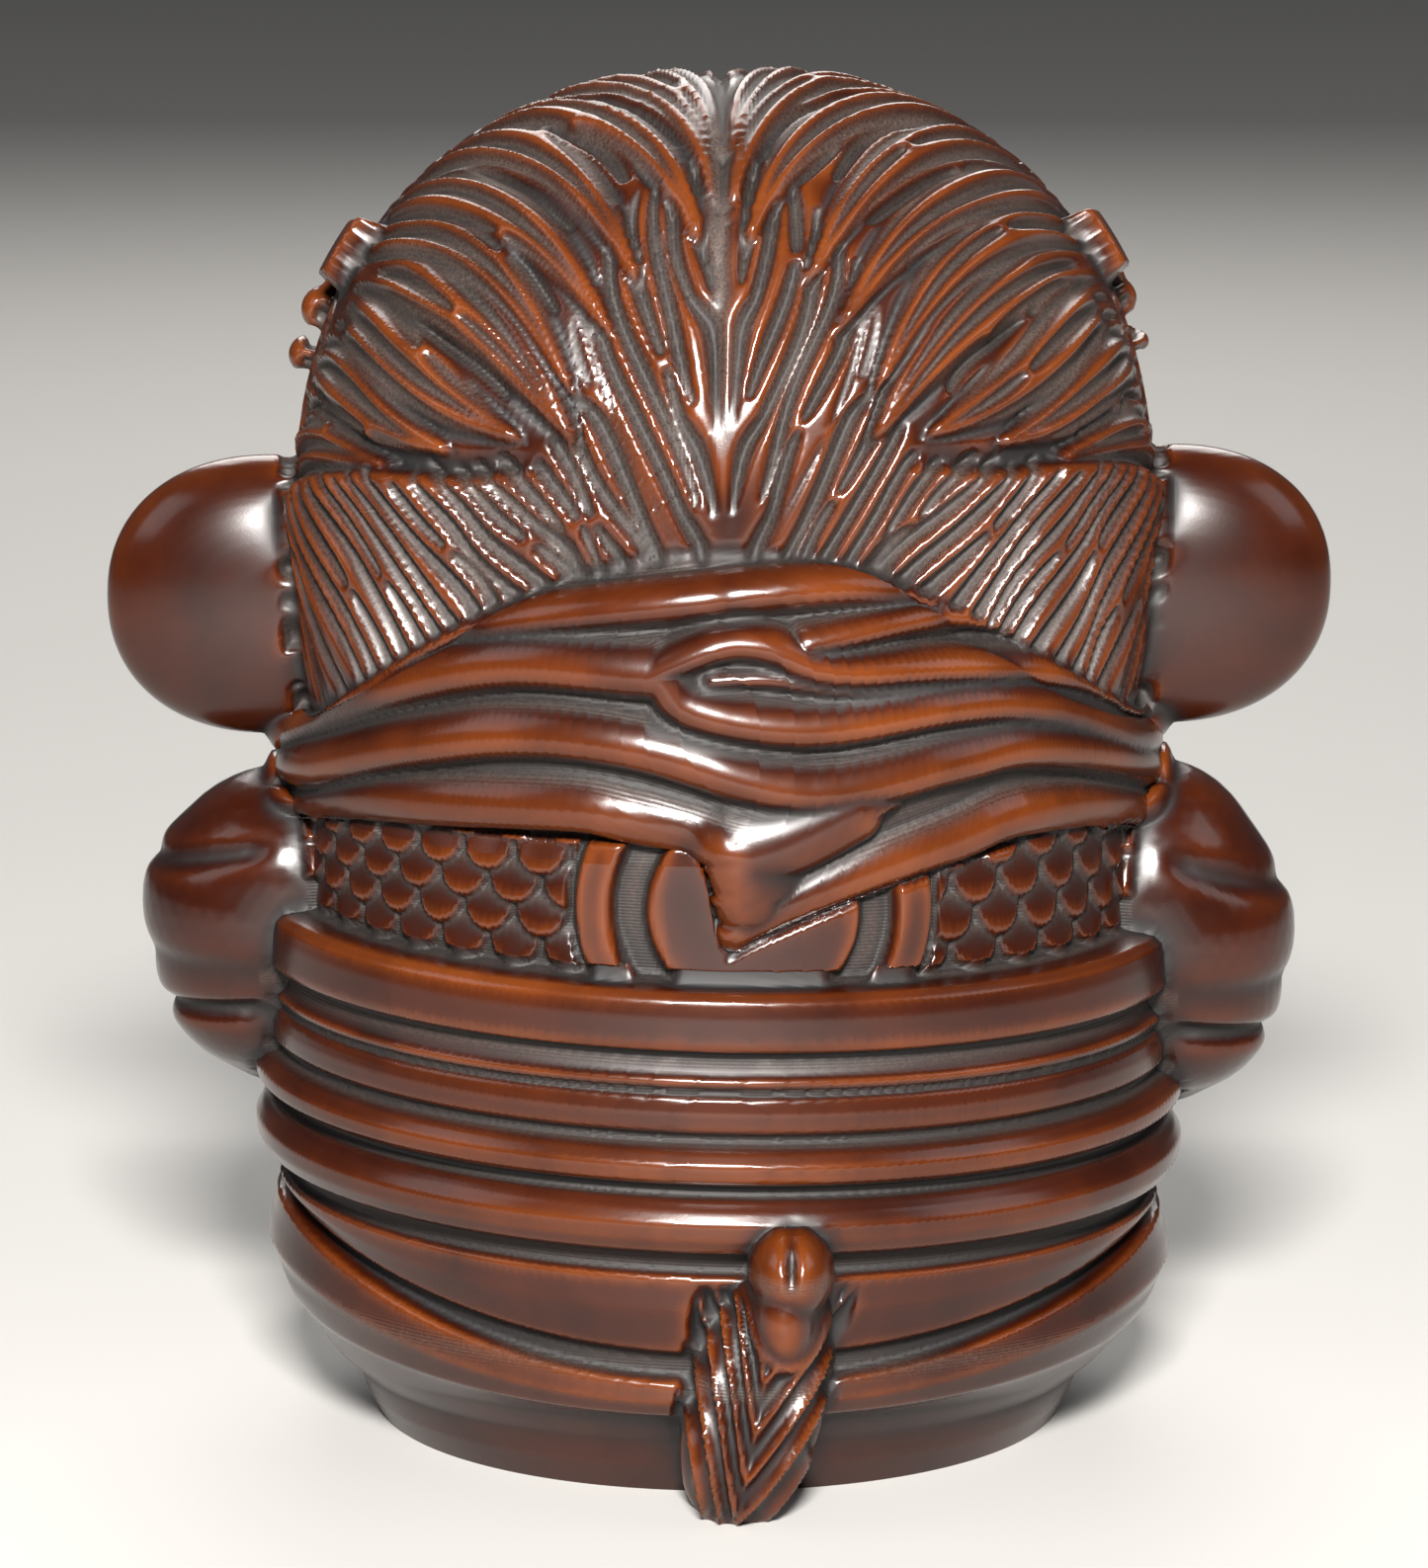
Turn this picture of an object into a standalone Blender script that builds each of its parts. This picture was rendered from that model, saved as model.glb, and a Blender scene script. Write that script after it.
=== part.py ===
"""A small boxwood figurine of a standing beast warrior, carved from one block.

The figure faces -Y and stands on the plane Z = 0. Sizes below are millimetres; the finished
mesh is brought to metres in the last step. Blocks are joined into one closed skin, the skin is
carved by moving its points along their normals, and the result is simplified and cut flat.
"""
import math

import bmesh
import bpy
import numpy as np
from mathutils import Vector

MM = 0.001
NAME = "figurine"

# driving sizes of the whole figure
HEIGHT = 55.0
WIDTH_OVER_EARS = 49.6
SKIN_CELL = 0.34
TRIANGLES = 9600

# head: a soft block, seen from behind as a tall dome; the hair stands a little proud of it
HEAD_HALF = (17.3, 15.6, 18.6)
HEAD_POWER = 2.35
HAIR_RISE = 0.15
HEAD_LEVEL = HEIGHT - HEAD_HALF[2] - HAIR_RISE
HEAD_CENTRE = (-0.2, -0.5, HEAD_LEVEL)

# body: turned about Z, then pressed flatter from front to back
BODY_RADIUS = 19.1
BODY_DEPTH_RATIO = 0.93
BODY_FACETS = 160
BODY_DEPTH = BODY_RADIUS * BODY_DEPTH_RATIO
CHEST_RADIUS = BODY_RADIUS - 2.3
BELT_TOP = 21.1
SIDE_POWER = 2.3

# hand work: the belts lie a little higher on +X, the ears and the scarf a little lower
BELT_LEAN = 0.025
HEAD_LEAN = -0.012

# body profile as (how far inside the body radius, level), from the neck to the last belt
NECK = ((7.0, 36.6), (3.8, 32.0), (2.5, 27.5), (2.3, 26.0), (2.3, 21.6))
BELTS = (
    (1.9, 21.4), (0.75, 21.2), (0.45, 20.9), (0.35, 20.3), (0.3, 19.2), (0.42, 18.95), (1.05, 18.82),
    (1.15, 18.6), (1.0, 18.1), (0.85, 17.88), (0.62, 17.72), (0.72, 17.45), (1.0, 17.3),
    (0.98, 17.15), (0.68, 17.0), (0.58, 16.4), (0.62, 15.8), (0.8, 15.6), (1.05, 15.5), (1.0, 15.25),
    (0.72, 15.08), (0.4, 14.9), (0.05, 14.45), (0.1, 13.9), (0.4, 13.65), (1.05, 13.5), (1.15, 13.1),
    (0.7, 12.92), (0.35, 12.55), (0.08, 12.1), (0.1, 11.5), (0.4, 10.95), (1.2, 10.62), (1.45, 10.3),
    (1.5, 9.95),
)

# skirt and base: the same two numbers behind, then at the sides where the hem rises
SKIRT = (
    ((1.0, 9.7), (1.0, 9.85)), ((1.1, 8.4), (1.0, 9.7)), ((1.6, 6.6), (1.2, 9.55)),
    ((2.2, 6.2), (2.0, 9.4)), ((2.2, 5.5), (2.0, 9.15)), ((1.5, 5.25), (0.9, 9.0)),
    ((1.45, 4.5), (0.5, 7.1)), ((1.9, 3.9), (1.3, 5.1)), ((3.1, 3.5), (3.1, 2.8)),
    ((3.9, 2.3), (4.1, 2.0)), ((4.3, 1.2), (4.5, 0.9)), ((4.9, 0.0), (5.0, 0.0)),
    ((4.9, -2.0), (5.0, -2.0)),
)

# scarf: a ring whose edges rise at the nape and whose lower edge dips to a tip behind
SCARF_RADIUS = 15.1
SCARF_HALF_DEPTH = 2.3
SCARF_DEPTH_RATIO = 0.96
SCARF_POWER = 3.0
SCARF_TOP = 29.6
SCARF_NAPE_RISE = 8.6
SCARF_BOTTOM = 24.4
SCARF_BOTTOM_RISE = 2.5
SCARF_TIP_TURN = -1.0
SCARF_TIP_DROP = 4.5

# folds of the scarf: half-width and height as shares of its half depth, then points of (turn
# from the back in degrees, level as a share of the scarf's top)
SCARF_FOLDS = (
    (0.48, 0.43, ((180, 0.993), (110, 0.980), (75, 1.000), (49, 1.115), (34, 1.179), (13, 1.220),
                 (-13, 1.243), (-28, 1.226))),
    (0.39, 0.39, ((-11, 1.172), (-25, 1.193), (-37, 1.189), (-50, 1.142), (-69, 1.037), (-100, 0.980),
                 (-180, 0.993))),
    (0.61, 0.48, ((180, 0.932), (100, 0.943), (69, 1.020), (44, 1.101), (26, 1.142), (8, 1.135))),
    (0.43, 0.48, ((8, 1.139), (0, 1.172), (-6, 1.169), (-14, 1.135), (-31, 1.125), (-52, 1.088),
                 (-82, 0.986), (-100, 0.946))),
    (0.52, 0.48, ((7, 1.132), (3, 1.088), (-11, 1.061), (-31, 1.074), (-47, 1.051), (-86, 0.943),
                 (-180, 0.926))),
    (0.57, 0.48, ((180, 0.878), (86, 0.919), (44, 1.014), (26, 1.047), (10, 1.037), (-11, 0.976),
                 (-31, 1.000), (-47, 1.000), (-86, 0.902), (-110, 0.878))),
    (0.52, 0.48, ((180, 0.831), (86, 0.851), (50, 0.926), (22, 0.949), (11, 0.936), (-2, 0.899),
                 (-9, 0.899))),
    (0.70, 0.48, ((-2, 0.882), (-9, 0.902), (-17, 0.946))),
    (0.70, 0.43, ((-1, 0.885), (-4, 0.845), (-3, 0.811))),
    (0.43, 0.48, ((-3, 0.797), (-10, 0.828), (-31, 0.889), (-47, 0.912), (-90, 0.851), (-180, 0.838))),
)

# chest ornament at the back: a plain disc in a raised ring, with rows of scales beside it
DISC_CENTRE = (-1.3, 24.2)
DISC_RADIUS = 4.2
RING_INNER = 5.2
RING_OUTER = 6.8
SCALE_WIDTH = 3.0
SCALE_PITCH = 1.7
SCALE_LIFT = 0.45

# hair: strands in locks laid over each other
STRAND_PITCH = 1.75
STRAND_DEPTH = 0.55
LOCK_LIFT = 0.75

# locks of one side, lowest first: root, middle and tip as (angle off the middle plane,
# angle from straight up towards the back), then the width and how much of it the root has
LOCKS = (
    ((86, 60), (82, 108), (68, 128), 6.0, 0.8),
    ((74, 48), (66, 92), (50, 112), 6.6, 0.8),
    ((60, 58), (48, 82), (37, 102), 6.2, 0.7),
    ((46, 62), (36, 80), (25, 95), 5.8, 0.6),
    ((34, 64), (22, 78), (10, 91), 5.0, 0.6),
    ((20, 48), (15, 66), (4, 87), 4.6, 0.7),
    ((14, 28), (10, 58), (0, 82), 4.4, 0.8),
    ((5, 40), (2, 62), (0, 78), 2.6, 0.9),
    ((66, 34), (40, 54), (19, 68), 8.8, 0.75),
    ((58, 4), (32, 34), (17, 62), 6.4, 0.6),
    ((43, 6), (28, 26), (14, 47), 5.4, 0.6),
    ((24, -6), (9, 22), (0, 49), 5.6, 0.7),
)

# brow band: a flat strap round the forehead with squared ends at the temples
BAND_LEVEL = HEAD_LEVEL + 11.65
BAND_SLOPE = 0.17
BAND_HALF_WIDTH = 1.0
BAND_LIFT = 0.75
BAND_END = 2.6

# arm from shoulder to fist: (turn from the side towards the front in degrees, how far outside
# the body radius, level, radius)
ARM = (
    (0, -4.1, 23.6, 3.7),
    (-1, -1.5, 22.0, 4.9),
    (0, -0.6, 20.6, 5.1),
    (2, -0.5, 17.9, 4.5),
    (11, -0.6, 15.9, 3.6),
    (29, -0.4, 15.3, 3.5),
    (48, 0.0, 15.2, 3.4),
    (62, 0.2, 15.2, 3.1),
    (70, 0.1, 15.2, 3.2),
)

# tail: a bud under the belt and a tuft that hangs to just above the ground, slanting to +X
BUD_CENTRE = (-2.8, BODY_DEPTH - 0.4, 10.3)
BUD_HALF = (1.7, 2.4, 1.9)
BUD_TAPER_DROP = 1.8
BUD_TAPER_HALF = (1.35, 2.3, 2.4)
TUFT_CENTRE = (-1.5, BODY_DEPTH - 2.3, 4.8)
TUFT_HALF = (2.8, 4.1, 5.4)
TUFT_SLANT = 0.17
TUFT_STRAND_PITCH = 2.4

# ears: plain round lobes beside the middle of the head
EAR_PLACE = (18.2, 0.3, HEAD_LEVEL - 2.15)
EAR_HALF_DEPTH = 2.8
EAR_HALF_HEIGHT = 5.7

# face, on the hidden side; levels count from the middle of the head
FACE_HALF = (11.4, 8.6, 8.4)
EYE_PLACE = (4.7, -15.6, HEAD_LEVEL + 1.05)
EYE_RADIUS = 2.2
MUZZLE_CENTRE = (0.0, -13.9, HEAD_LEVEL - 4.65)
MUZZLE_HALF = (7.0, 5.6, 4.8)
MOUTH_LEVEL = HEAD_LEVEL - 6.55
NOSE_LEVEL = HEAD_LEVEL - 1.65

# boots and the toes before them
BOOT_CENTRE = (7.0, -2.5, 0.2)
BOOT_HALF = (7.2, 11.6, 2.6)
TOE_CENTRE = (6.8, -12.2, 0.6)
TOE_HALF = (4.8, 5.2, 3.4)

BOXWOOD = (0.36, 0.13, 0.04, 1.0)


def ease(low, high, value):
    """Rise smoothly from 0 at low to 1 at high; high may be the smaller of the two."""
    part = np.clip((value - low) / (high - low), 0.0, 1.0)
    return part * part * (3.0 - 2.0 * part)


def bell(middle, half, value):
    """1 at the middle, fading to both sides."""
    return np.exp(-((value - middle) / half) ** 2)


def ball(blocks, centre, half, power=2.0, detail=4):
    """Add a closed ball of the given half sizes; a power above 2 makes it blockier."""
    shape = bmesh.new()
    bmesh.ops.create_icosphere(shape, subdivisions=detail, radius=1.0)
    ways = np.array([vert.co[:] for vert in shape.verts])
    faces = np.array([[vert.index for vert in face.verts] for face in shape.faces])
    shape.free()
    reach = (np.abs(ways) ** power).sum(axis=1) ** (-1.0 / power)
    blocks.append((np.array(centre) + np.array(half) * ways * reach[:, None], faces))


def both_sides(blocks, centre, half, power=2.0, detail=4):
    """Add a ball and its mirror image."""
    for side in (1, -1):
        ball(blocks, (side * centre[0], centre[1], centre[2]), half, power, detail)


def limb(blocks, route, side):
    """Add a soft tube of balls along a route of (x, y, z, radius)."""
    steps = 7
    for first, last in zip(route, route[1:]):
        for step in range(steps + 1):
            share = step / steps
            x, y, z, radius = [a + (b - a) * share for a, b in zip(first, last)]
            ball(blocks, (side * x, y, z), (radius, radius, radius), detail=3)


def arm_route():
    """The arm's stops as (x, y, z, radius) on the +X side."""
    route = []
    for turn, outside, level, radius in ARM:
        around = math.radians(turn)
        reach = BODY_RADIUS + outside
        route.append((reach * math.cos(around), -reach * math.sin(around) * BODY_DEPTH_RATIO, level, radius))
    return route


def grid_faces(rows, columns, closed):
    """Triangles of a grid that closes on itself along its columns, and along its rows if closed."""
    row = np.arange(rows if closed else rows - 1)[:, None]
    column = np.arange(columns)[None, :]
    below = (row + 1) % rows
    beside = (column + 1) % columns
    a, b = row * columns + column, below * columns + column
    c, d = below * columns + beside, row * columns + beside
    return np.concatenate([np.stack([a, b, c], -1).reshape(-1, 3), np.stack([a, c, d], -1).reshape(-1, 3)])


def scarf_edges(turn):
    """Upper and lower level of the scarf at a turn from the back, in degrees."""
    away = np.abs(turn)
    upper = SCARF_TOP + SCARF_NAPE_RISE * (1.0 - ease(4.0, 82.0, away))
    lower = SCARF_BOTTOM + SCARF_BOTTOM_RISE * (1.0 - ease(48.0, 95.0, away))
    past_tip = turn - SCARF_TIP_TURN
    spread = np.where(past_tip > 0.0, 4.0, 26.0)
    lower = lower - SCARF_TIP_DROP * np.exp(-np.abs(past_tip) / spread)
    return upper, lower


def add_body(blocks):
    """Turn the body profile, with the hem rising towards both sides."""
    turns = np.linspace(0.0, 2.0 * math.pi, BODY_FACETS, endpoint=False)
    sideways = np.abs(np.cos(turns)) ** SIDE_POWER
    rows = []
    for behind, beside in [(row, row) for row in NECK + BELTS] + list(SKIRT):
        inset = behind[0] + (beside[0] - behind[0]) * sideways
        level = behind[1] + (beside[1] - behind[1]) * sideways
        radius = BODY_RADIUS - inset
        rows.append(np.stack([radius * np.cos(turns), radius * np.sin(turns) * BODY_DEPTH_RATIO, level], -1))
    points = np.concatenate(rows)
    faces = grid_faces(len(rows), BODY_FACETS, False)
    ends = []
    for centre, first in ((len(points), 0), (len(points) + 1, (len(rows) - 1) * BODY_FACETS)):
        ring = first + np.arange(BODY_FACETS)
        ends.append(np.stack([ring, np.roll(ring, -1), np.full(BODY_FACETS, centre)], -1))
    middles = [[0.0, 0.0, rows[0][0][2]], [0.0, 0.0, rows[-1][0][2]]]
    blocks.append((np.concatenate([points, middles]), np.concatenate([faces] + ends)))


def add_scarf(blocks):
    """Shape a ring of flattened cross-section into the scarf."""
    around, section = 240, 48
    turn = np.linspace(-180.0, 180.0, around, endpoint=False)
    upper, lower = scarf_edges(turn)
    angle = np.linspace(0.0, 2.0 * math.pi, section, endpoint=False)
    total = np.abs(np.cos(angle)) ** SCARF_POWER + np.abs(np.sin(angle)) ** SCARF_POWER
    reach = total ** (-1.0 / SCARF_POWER)
    radius = SCARF_RADIUS + SCARF_HALF_DEPTH * np.cos(angle) * reach
    level = (upper + lower)[:, None] / 2 + (upper - lower)[:, None] / 2 * (np.sin(angle) * reach)[None, :]
    x = np.sin(np.radians(turn))[:, None] * radius[None, :]
    y = np.cos(np.radians(turn))[:, None] * radius[None, :] * SCARF_DEPTH_RATIO
    points = np.stack([x, y, level], -1).reshape(-1, 3)
    blocks.append((points, grid_faces(around, section, True)))


def add_head(blocks):
    """Head, ears, temple knobs and the face's main forms."""
    level = HEAD_LEVEL
    ball(blocks, HEAD_CENTRE, HEAD_HALF, HEAD_POWER, detail=6)
    ear_reach = WIDTH_OVER_EARS / 2 - EAR_PLACE[0]
    both_sides(blocks, EAR_PLACE, (ear_reach, EAR_HALF_DEPTH, EAR_HALF_HEIGHT), 2.2, detail=5)
    both_sides(blocks, (HEAD_HALF[0] - 1.3, -2.0, level + 9.15), (0.95, 1.1, 0.95))
    both_sides(blocks, (HEAD_HALF[0] - 0.6, -2.4, level + 7.25), (0.8, 1.3, 0.8))
    ball(blocks, (0.0, -8.2, level - 0.85), FACE_HALF, 2.3, detail=5)
    ball(blocks, MUZZLE_CENTRE, MUZZLE_HALF, 2.2, detail=5)
    both_sides(blocks, (8.6, -11.8, level - 4.25), (3.6, 3.8, 4.0))
    both_sides(blocks, EYE_PLACE, (EYE_RADIUS, 1.9, 1.8))
    both_sides(blocks, (4.8, -15.0, level + 4.15), (4.0, 2.2, 1.3))
    ball(blocks, (0.0, -18.5, NOSE_LEVEL), (2.0, 1.3, 1.3))
    ball(blocks, (0.0, -16.4, level + 1.15), (1.2, 1.6, 3.4))


def add_front(blocks):
    """Boots, the scarf's knot with two short ends lying on chest and belt, and the plain boss."""
    both_sides(blocks, BOOT_CENTRE, BOOT_HALF, 2.1, detail=5)
    both_sides(blocks, TOE_CENTRE, TOE_HALF, 2.3)
    ball(blocks, (0.0, 0.5 - BODY_DEPTH, 24.6), (3.4, 2.4, 2.6), 2.4)
    ends = ((0.9, 23.4, 2.1), (2.2, 21.4, 2.0), (3.2, 19.0, 1.3))
    for side in (1, -1):
        limb(blocks, [(x, 0.6 - BODY_DEPTH, level, radius) for x, level, radius in ends], side)
    ball(blocks, (0.0, 0.2 - BODY_DEPTH, 14.6), (3.1, 1.9, 3.1), 2.6)


def add_tail(blocks):
    """Bud and tuft of the tail; the tuft slants a little towards +X."""
    x, y, level = BUD_CENTRE
    ball(blocks, BUD_CENTRE, BUD_HALF)
    ball(blocks, (x + 0.3, y, level - BUD_TAPER_DROP), BUD_TAPER_HALF)
    ball(blocks, TUFT_CENTRE, TUFT_HALF, 2.5, detail=5)
    points = blocks[-1][0]
    points[:, 0] -= TUFT_SLANT * (points[:, 2] - TUFT_CENTRE[2])


def mesh_of(name, points, triangles):
    """Mesh of points and triangles given as rows of numbers."""
    mesh = bpy.data.meshes.new(name)
    mesh.vertices.add(len(points))
    mesh.vertices.foreach_set("co", np.ascontiguousarray(points, dtype=np.float32).ravel())
    mesh.loops.add(triangles.size)
    mesh.loops.foreach_set("vertex_index", np.ascontiguousarray(triangles, dtype=np.int32).ravel())
    mesh.polygons.add(len(triangles))
    mesh.polygons.foreach_set("loop_start", np.arange(0, triangles.size, 3, dtype=np.int32))
    mesh.update(calc_edges=True)
    return mesh


def holder_of(mesh, name):
    """Link a mesh into the scene on a new object."""
    holder = bpy.data.objects.new(name, mesh)
    bpy.context.scene.collection.objects.link(holder)
    return holder


def evaluated_mesh(holder):
    """The mesh of an object with its modifiers applied; the object is removed."""
    graph = bpy.context.evaluated_depsgraph_get()
    mesh = bpy.data.meshes.new_from_object(holder.evaluated_get(graph))
    bpy.data.objects.remove(holder, do_unlink=True)
    return mesh


def block_out():
    """Join all blocks into one closed skin of even cells."""
    blocks = []
    add_body(blocks)
    add_scarf(blocks)
    add_head(blocks)
    add_front(blocks)
    add_tail(blocks)
    for side in (1, -1):
        limb(blocks, arm_route(), side)
    starts = np.cumsum([0] + [len(points) for points, _ in blocks[:-1]])
    points = np.concatenate([points for points, _ in blocks])
    triangles = np.concatenate([faces + start for (_, faces), start in zip(blocks, starts)])
    holder = holder_of(mesh_of("blocks", points, triangles), "blocks")
    skin = holder.modifiers.new("skin", "REMESH")
    skin.mode = "VOXEL"
    skin.voxel_size = SKIN_CELL
    return evaluated_mesh(holder)


def head_offset(points):
    """Distance outside the head's form, near its surface."""
    way = np.abs(points - HEAD_CENTRE) / HEAD_HALF
    size = (way ** HEAD_POWER).sum(axis=1) ** (1.0 / HEAD_POWER)
    reach = np.linalg.norm(points - HEAD_CENTRE, axis=1)
    return reach * (1.0 - 1.0 / np.maximum(size, 1e-6))


def head_place(off_plane, from_top):
    """Point of the head's surface at two angles in degrees, as in LOCKS."""
    side = np.radians(off_plane)
    tilt = np.radians(from_top)
    way = np.stack([np.sin(side), np.cos(side) * np.sin(tilt), np.cos(side) * np.cos(tilt)], axis=-1)
    size = ((np.abs(way) / HEAD_HALF) ** HEAD_POWER).sum(axis=-1) ** (1.0 / HEAD_POWER)
    return np.array(HEAD_CENTRE) + way / size[..., None]


def arc_through(first, middle, last, count):
    """Points on the parabola from first to last that passes the middle at its half."""
    share = np.linspace(0.0, 1.0, count)[:, None]
    first, middle, last = [np.array(item, dtype=float) for item in (first, middle, last)]
    pull = 2.0 * middle - (first + last) / 2.0
    return (1 - share) ** 2 * first + 2 * share * (1 - share) * pull + share ** 2 * last


def beside_line(points, line, outward):
    """Share of the way along a line and signed distance beside it, for each point."""
    along = np.gradient(line, axis=0)
    length = np.linalg.norm(along, axis=1)
    along = along / length[:, None]
    beside = np.cross(along, outward)
    beside = beside / np.linalg.norm(beside, axis=1)[:, None]
    gaps = ((points[:, None, :] - line[None, :, :]) ** 2).sum(axis=2)
    near = gaps.argmin(axis=1)
    away = points - line[near]
    share = (near + (away * along[near]).sum(axis=1) / length[near]) / (len(line) - 1)
    return share, (away * beside[near]).sum(axis=1)


def grooves(across, count):
    """Round-bottomed grooves between narrow ridges; across runs from -1 to 1."""
    phase = (across + 1.0) / 2.0 * count
    middle = np.abs(2.0 * (phase - np.floor(phase)) - 1.0)
    return 1.0 - middle ** 2.4


def lay_lock(points, height, lock, side):
    """Lay one lock of hair over the height found so far."""
    root, middle, tip, width, root_share = lock
    angles = arc_through(root, middle, tip, 30)
    line = head_place(side * angles[:, 0], angles[:, 1])
    outward = line - HEAD_CENTRE
    reach = np.linalg.norm(line[-1] - line[0]) / 2 + width
    close = np.linalg.norm(points - line.mean(axis=0), axis=1) < reach
    share, beside = beside_line(points[close], line, outward)
    inside = np.clip(share, 0.0, 1.0)
    spread = root_share + (1.0 - root_share) * ease(0.0, 0.45, inside)
    half = width / 2 * spread * (1.0 - inside ** 3.2) ** 0.8 + 0.01
    across = np.clip(beside / half, -1.5, 1.5)
    count = max(2, round(width / STRAND_PITCH))
    cover = ease(1.0, 0.84, np.abs(across)) * ease(0.0, 0.14, share) * (share < 1.0)
    fade = ease(0.02, 0.22, share) * ease(1.0, 0.86, share)
    narrow = np.clip(half / (width / 2), 0.0, 1.0)
    body = LOCK_LIFT * (1.0 - 0.35 * across ** 2) * ease(0.0, 0.3, share)
    body = body - STRAND_DEPTH * grooves(across, count) * fade * narrow
    rim = 0.45 * ease(1.45, 1.02, np.abs(across)) * ease(0.1, 0.4, share) * (share < 1.04)
    below = height[close] - rim * (1.0 - cover)
    height[close] = below + (body - below) * cover


def carve_hair(points):
    """Height of the hair over the head's form."""
    way = points - HEAD_CENTRE
    off_plane = np.degrees(np.arcsin(np.clip(way[:, 0] / np.linalg.norm(way, axis=1), -1, 1)))
    count = round(math.pi * HEAD_HALF[0] / STRAND_PITCH)
    height = 0.15 - 0.8 * STRAND_DEPTH * grooves(off_plane / 90.0, count)
    for lock in LOCKS:
        for side in (1, -1):
            lay_lock(points, height, lock, side)
    behind = ease(-4.0, 2.0, points[:, 1])
    above = points[:, 2] - HEAD_LEVEL
    parting = bell(0.0, 0.55, points[:, 0]) * ease(8.75, 11.75, above) * behind
    return height - 0.7 * parting


def carve_band(points, height):
    """Brow band with squared ends, over the hair of the forehead."""
    level = BAND_LEVEL + BAND_SLOPE * (points[:, 1] - 2.0)
    off = np.abs(points[:, 2] - level)
    strap = ease(BAND_HALF_WIDTH + 0.2, BAND_HALF_WIDTH - 0.2, off) * (points[:, 1] < BAND_END)
    stop = ease(1.3, 1.0, off) * ease(0.2, 0.6, points[:, 1]) * (points[:, 1] < BAND_END)
    stop = stop * ease(9.0, 12.0, np.abs(points[:, 0]))
    lifted = height + (BAND_LIFT - height) * strap
    return lifted + (1.2 - lifted) * stop


def near_face(points):
    """How far a point belongs to the bare face rather than the hair."""
    wide = points[:, 0] / 11.5
    tall = (points[:, 2] - HEAD_LEVEL + 1.25) / 9.2
    return ease(1.15, 0.95, np.sqrt(wide ** 2 + tall ** 2)) * (points[:, 1] < -6.0)


def through_stops(stops, parts):
    """Points on a smooth curve through all stops."""
    stops = np.array(stops, dtype=float)
    padded = np.concatenate([[2 * stops[0] - stops[1]], stops, [2 * stops[-1] - stops[-2]]])
    share = (np.arange(parts) / parts)[:, None]
    curve = []
    for a, b, c, d in zip(padded, padded[1:], padded[2:], padded[3:]):
        curve.append(0.5 * (2 * b + (c - a) * share + (2 * a - 5 * b + 4 * c - d) * share ** 2
                            + (3 * b - a - 3 * c + d) * share ** 3))
    return np.concatenate(curve + [stops[-1:]])


def fold_height(turn, level):
    """Rolls of the scarf, gentler above their lines than below, the highest one showing."""
    reach = SCARF_RADIUS + SCARF_HALF_DEPTH
    arc = np.radians(turn) * reach
    height = np.zeros(len(turn))
    for wide, tall, route in SCARF_FOLDS:
        half = wide * SCARF_HALF_DEPTH
        rise = tall * SCARF_HALF_DEPTH
        stops = through_stops(route, 4) * (math.radians(reach), SCARF_TOP)
        gap = np.full(len(turn), 99.0)
        above = np.zeros(len(turn), dtype=bool)
        for first, last in zip(stops, stops[1:]):
            span = last - first
            share = ((arc - first[0]) * span[0] + (level - first[1]) * span[1]) / (span ** 2).sum()
            share = np.clip(share, 0.0, 1.0)
            over = level - first[1] - share * span[1]
            side = np.hypot(arc - first[0] - share * span[0], over)
            above = np.where(side < gap, over > 0.0, above)
            gap = np.minimum(gap, side)
        upper_side = 1.0 - (gap / (1.3 * half)) ** 1.8
        lower_side = 1.0 - (gap / (0.85 * half)) ** 2.6
        height = np.maximum(height, rise * np.clip(np.where(above, upper_side, lower_side), 0.0, 1.0))
    return height


def scarf_closeness(points, turn):
    """1 on the scarf's outer side, 0 away from it."""
    upper, lower = scarf_edges(turn)
    radius = np.hypot(points[:, 0], points[:, 1] / SCARF_DEPTH_RATIO)
    level = np.abs(points[:, 2] - (upper + lower) / 2) / ((upper - lower) / 2)
    depth = np.clip(1.0 - np.clip(level, 0, 1) ** SCARF_POWER, 0, 1) ** (1 / SCARF_POWER)
    off = np.abs(radius - SCARF_RADIUS - SCARF_HALF_DEPTH * depth)
    return ease(1.3, 0.7, off) * ease(1.04, 0.94, level)


def scale_height(arc, level):
    """Rows of overlapping scales with round lower edges."""
    height = np.zeros(len(arc))
    rows = math.ceil(8.0 / SCALE_PITCH)
    for row in range(rows):
        top = BELT_TOP + (row + 1) * SCALE_PITCH + 0.2
        shift = 0.5 * SCALE_WIDTH * (row % 2)
        across = (arc + shift) / SCALE_WIDTH
        across = 2.0 * (across - np.floor(across)) - 1.0
        drop = (top - level) / (SCALE_PITCH * 1.25)
        edge = drop - np.sqrt(np.clip(1.0 - across ** 2, 0.0, 1.0))
        cover = ease(0.06, -0.12, edge) * ease(-0.25, -0.1, drop)
        lift = SCALE_LIFT * (0.35 + 0.65 * np.clip(drop, 0.0, 1.0))
        height = np.where(cover > 0.5, np.maximum(height * (1 - cover), lift * cover), height)
    return height


def carve_armour(points, turn):
    """Disc, ring and scales between the belt and the scarf."""
    arc = np.radians(turn) * CHEST_RADIUS
    level = points[:, 2]
    height = scale_height(arc, level)
    back = np.abs(turn) < 90
    out = np.hypot(points[:, 0] - DISC_CENTRE[0], level - DISC_CENTRE[1])
    plate = 0.9 * ease(DISC_RADIUS + 0.15, DISC_RADIUS - 0.25, out) - 0.25
    ring = ease(RING_INNER - 0.15, RING_INNER + 0.2, out) * ease(RING_OUTER + 0.15, RING_OUTER - 0.2, out)
    middle = plate + 0.95 * ring
    return np.where((out < RING_OUTER + 0.3) & back, middle, height)


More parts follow.
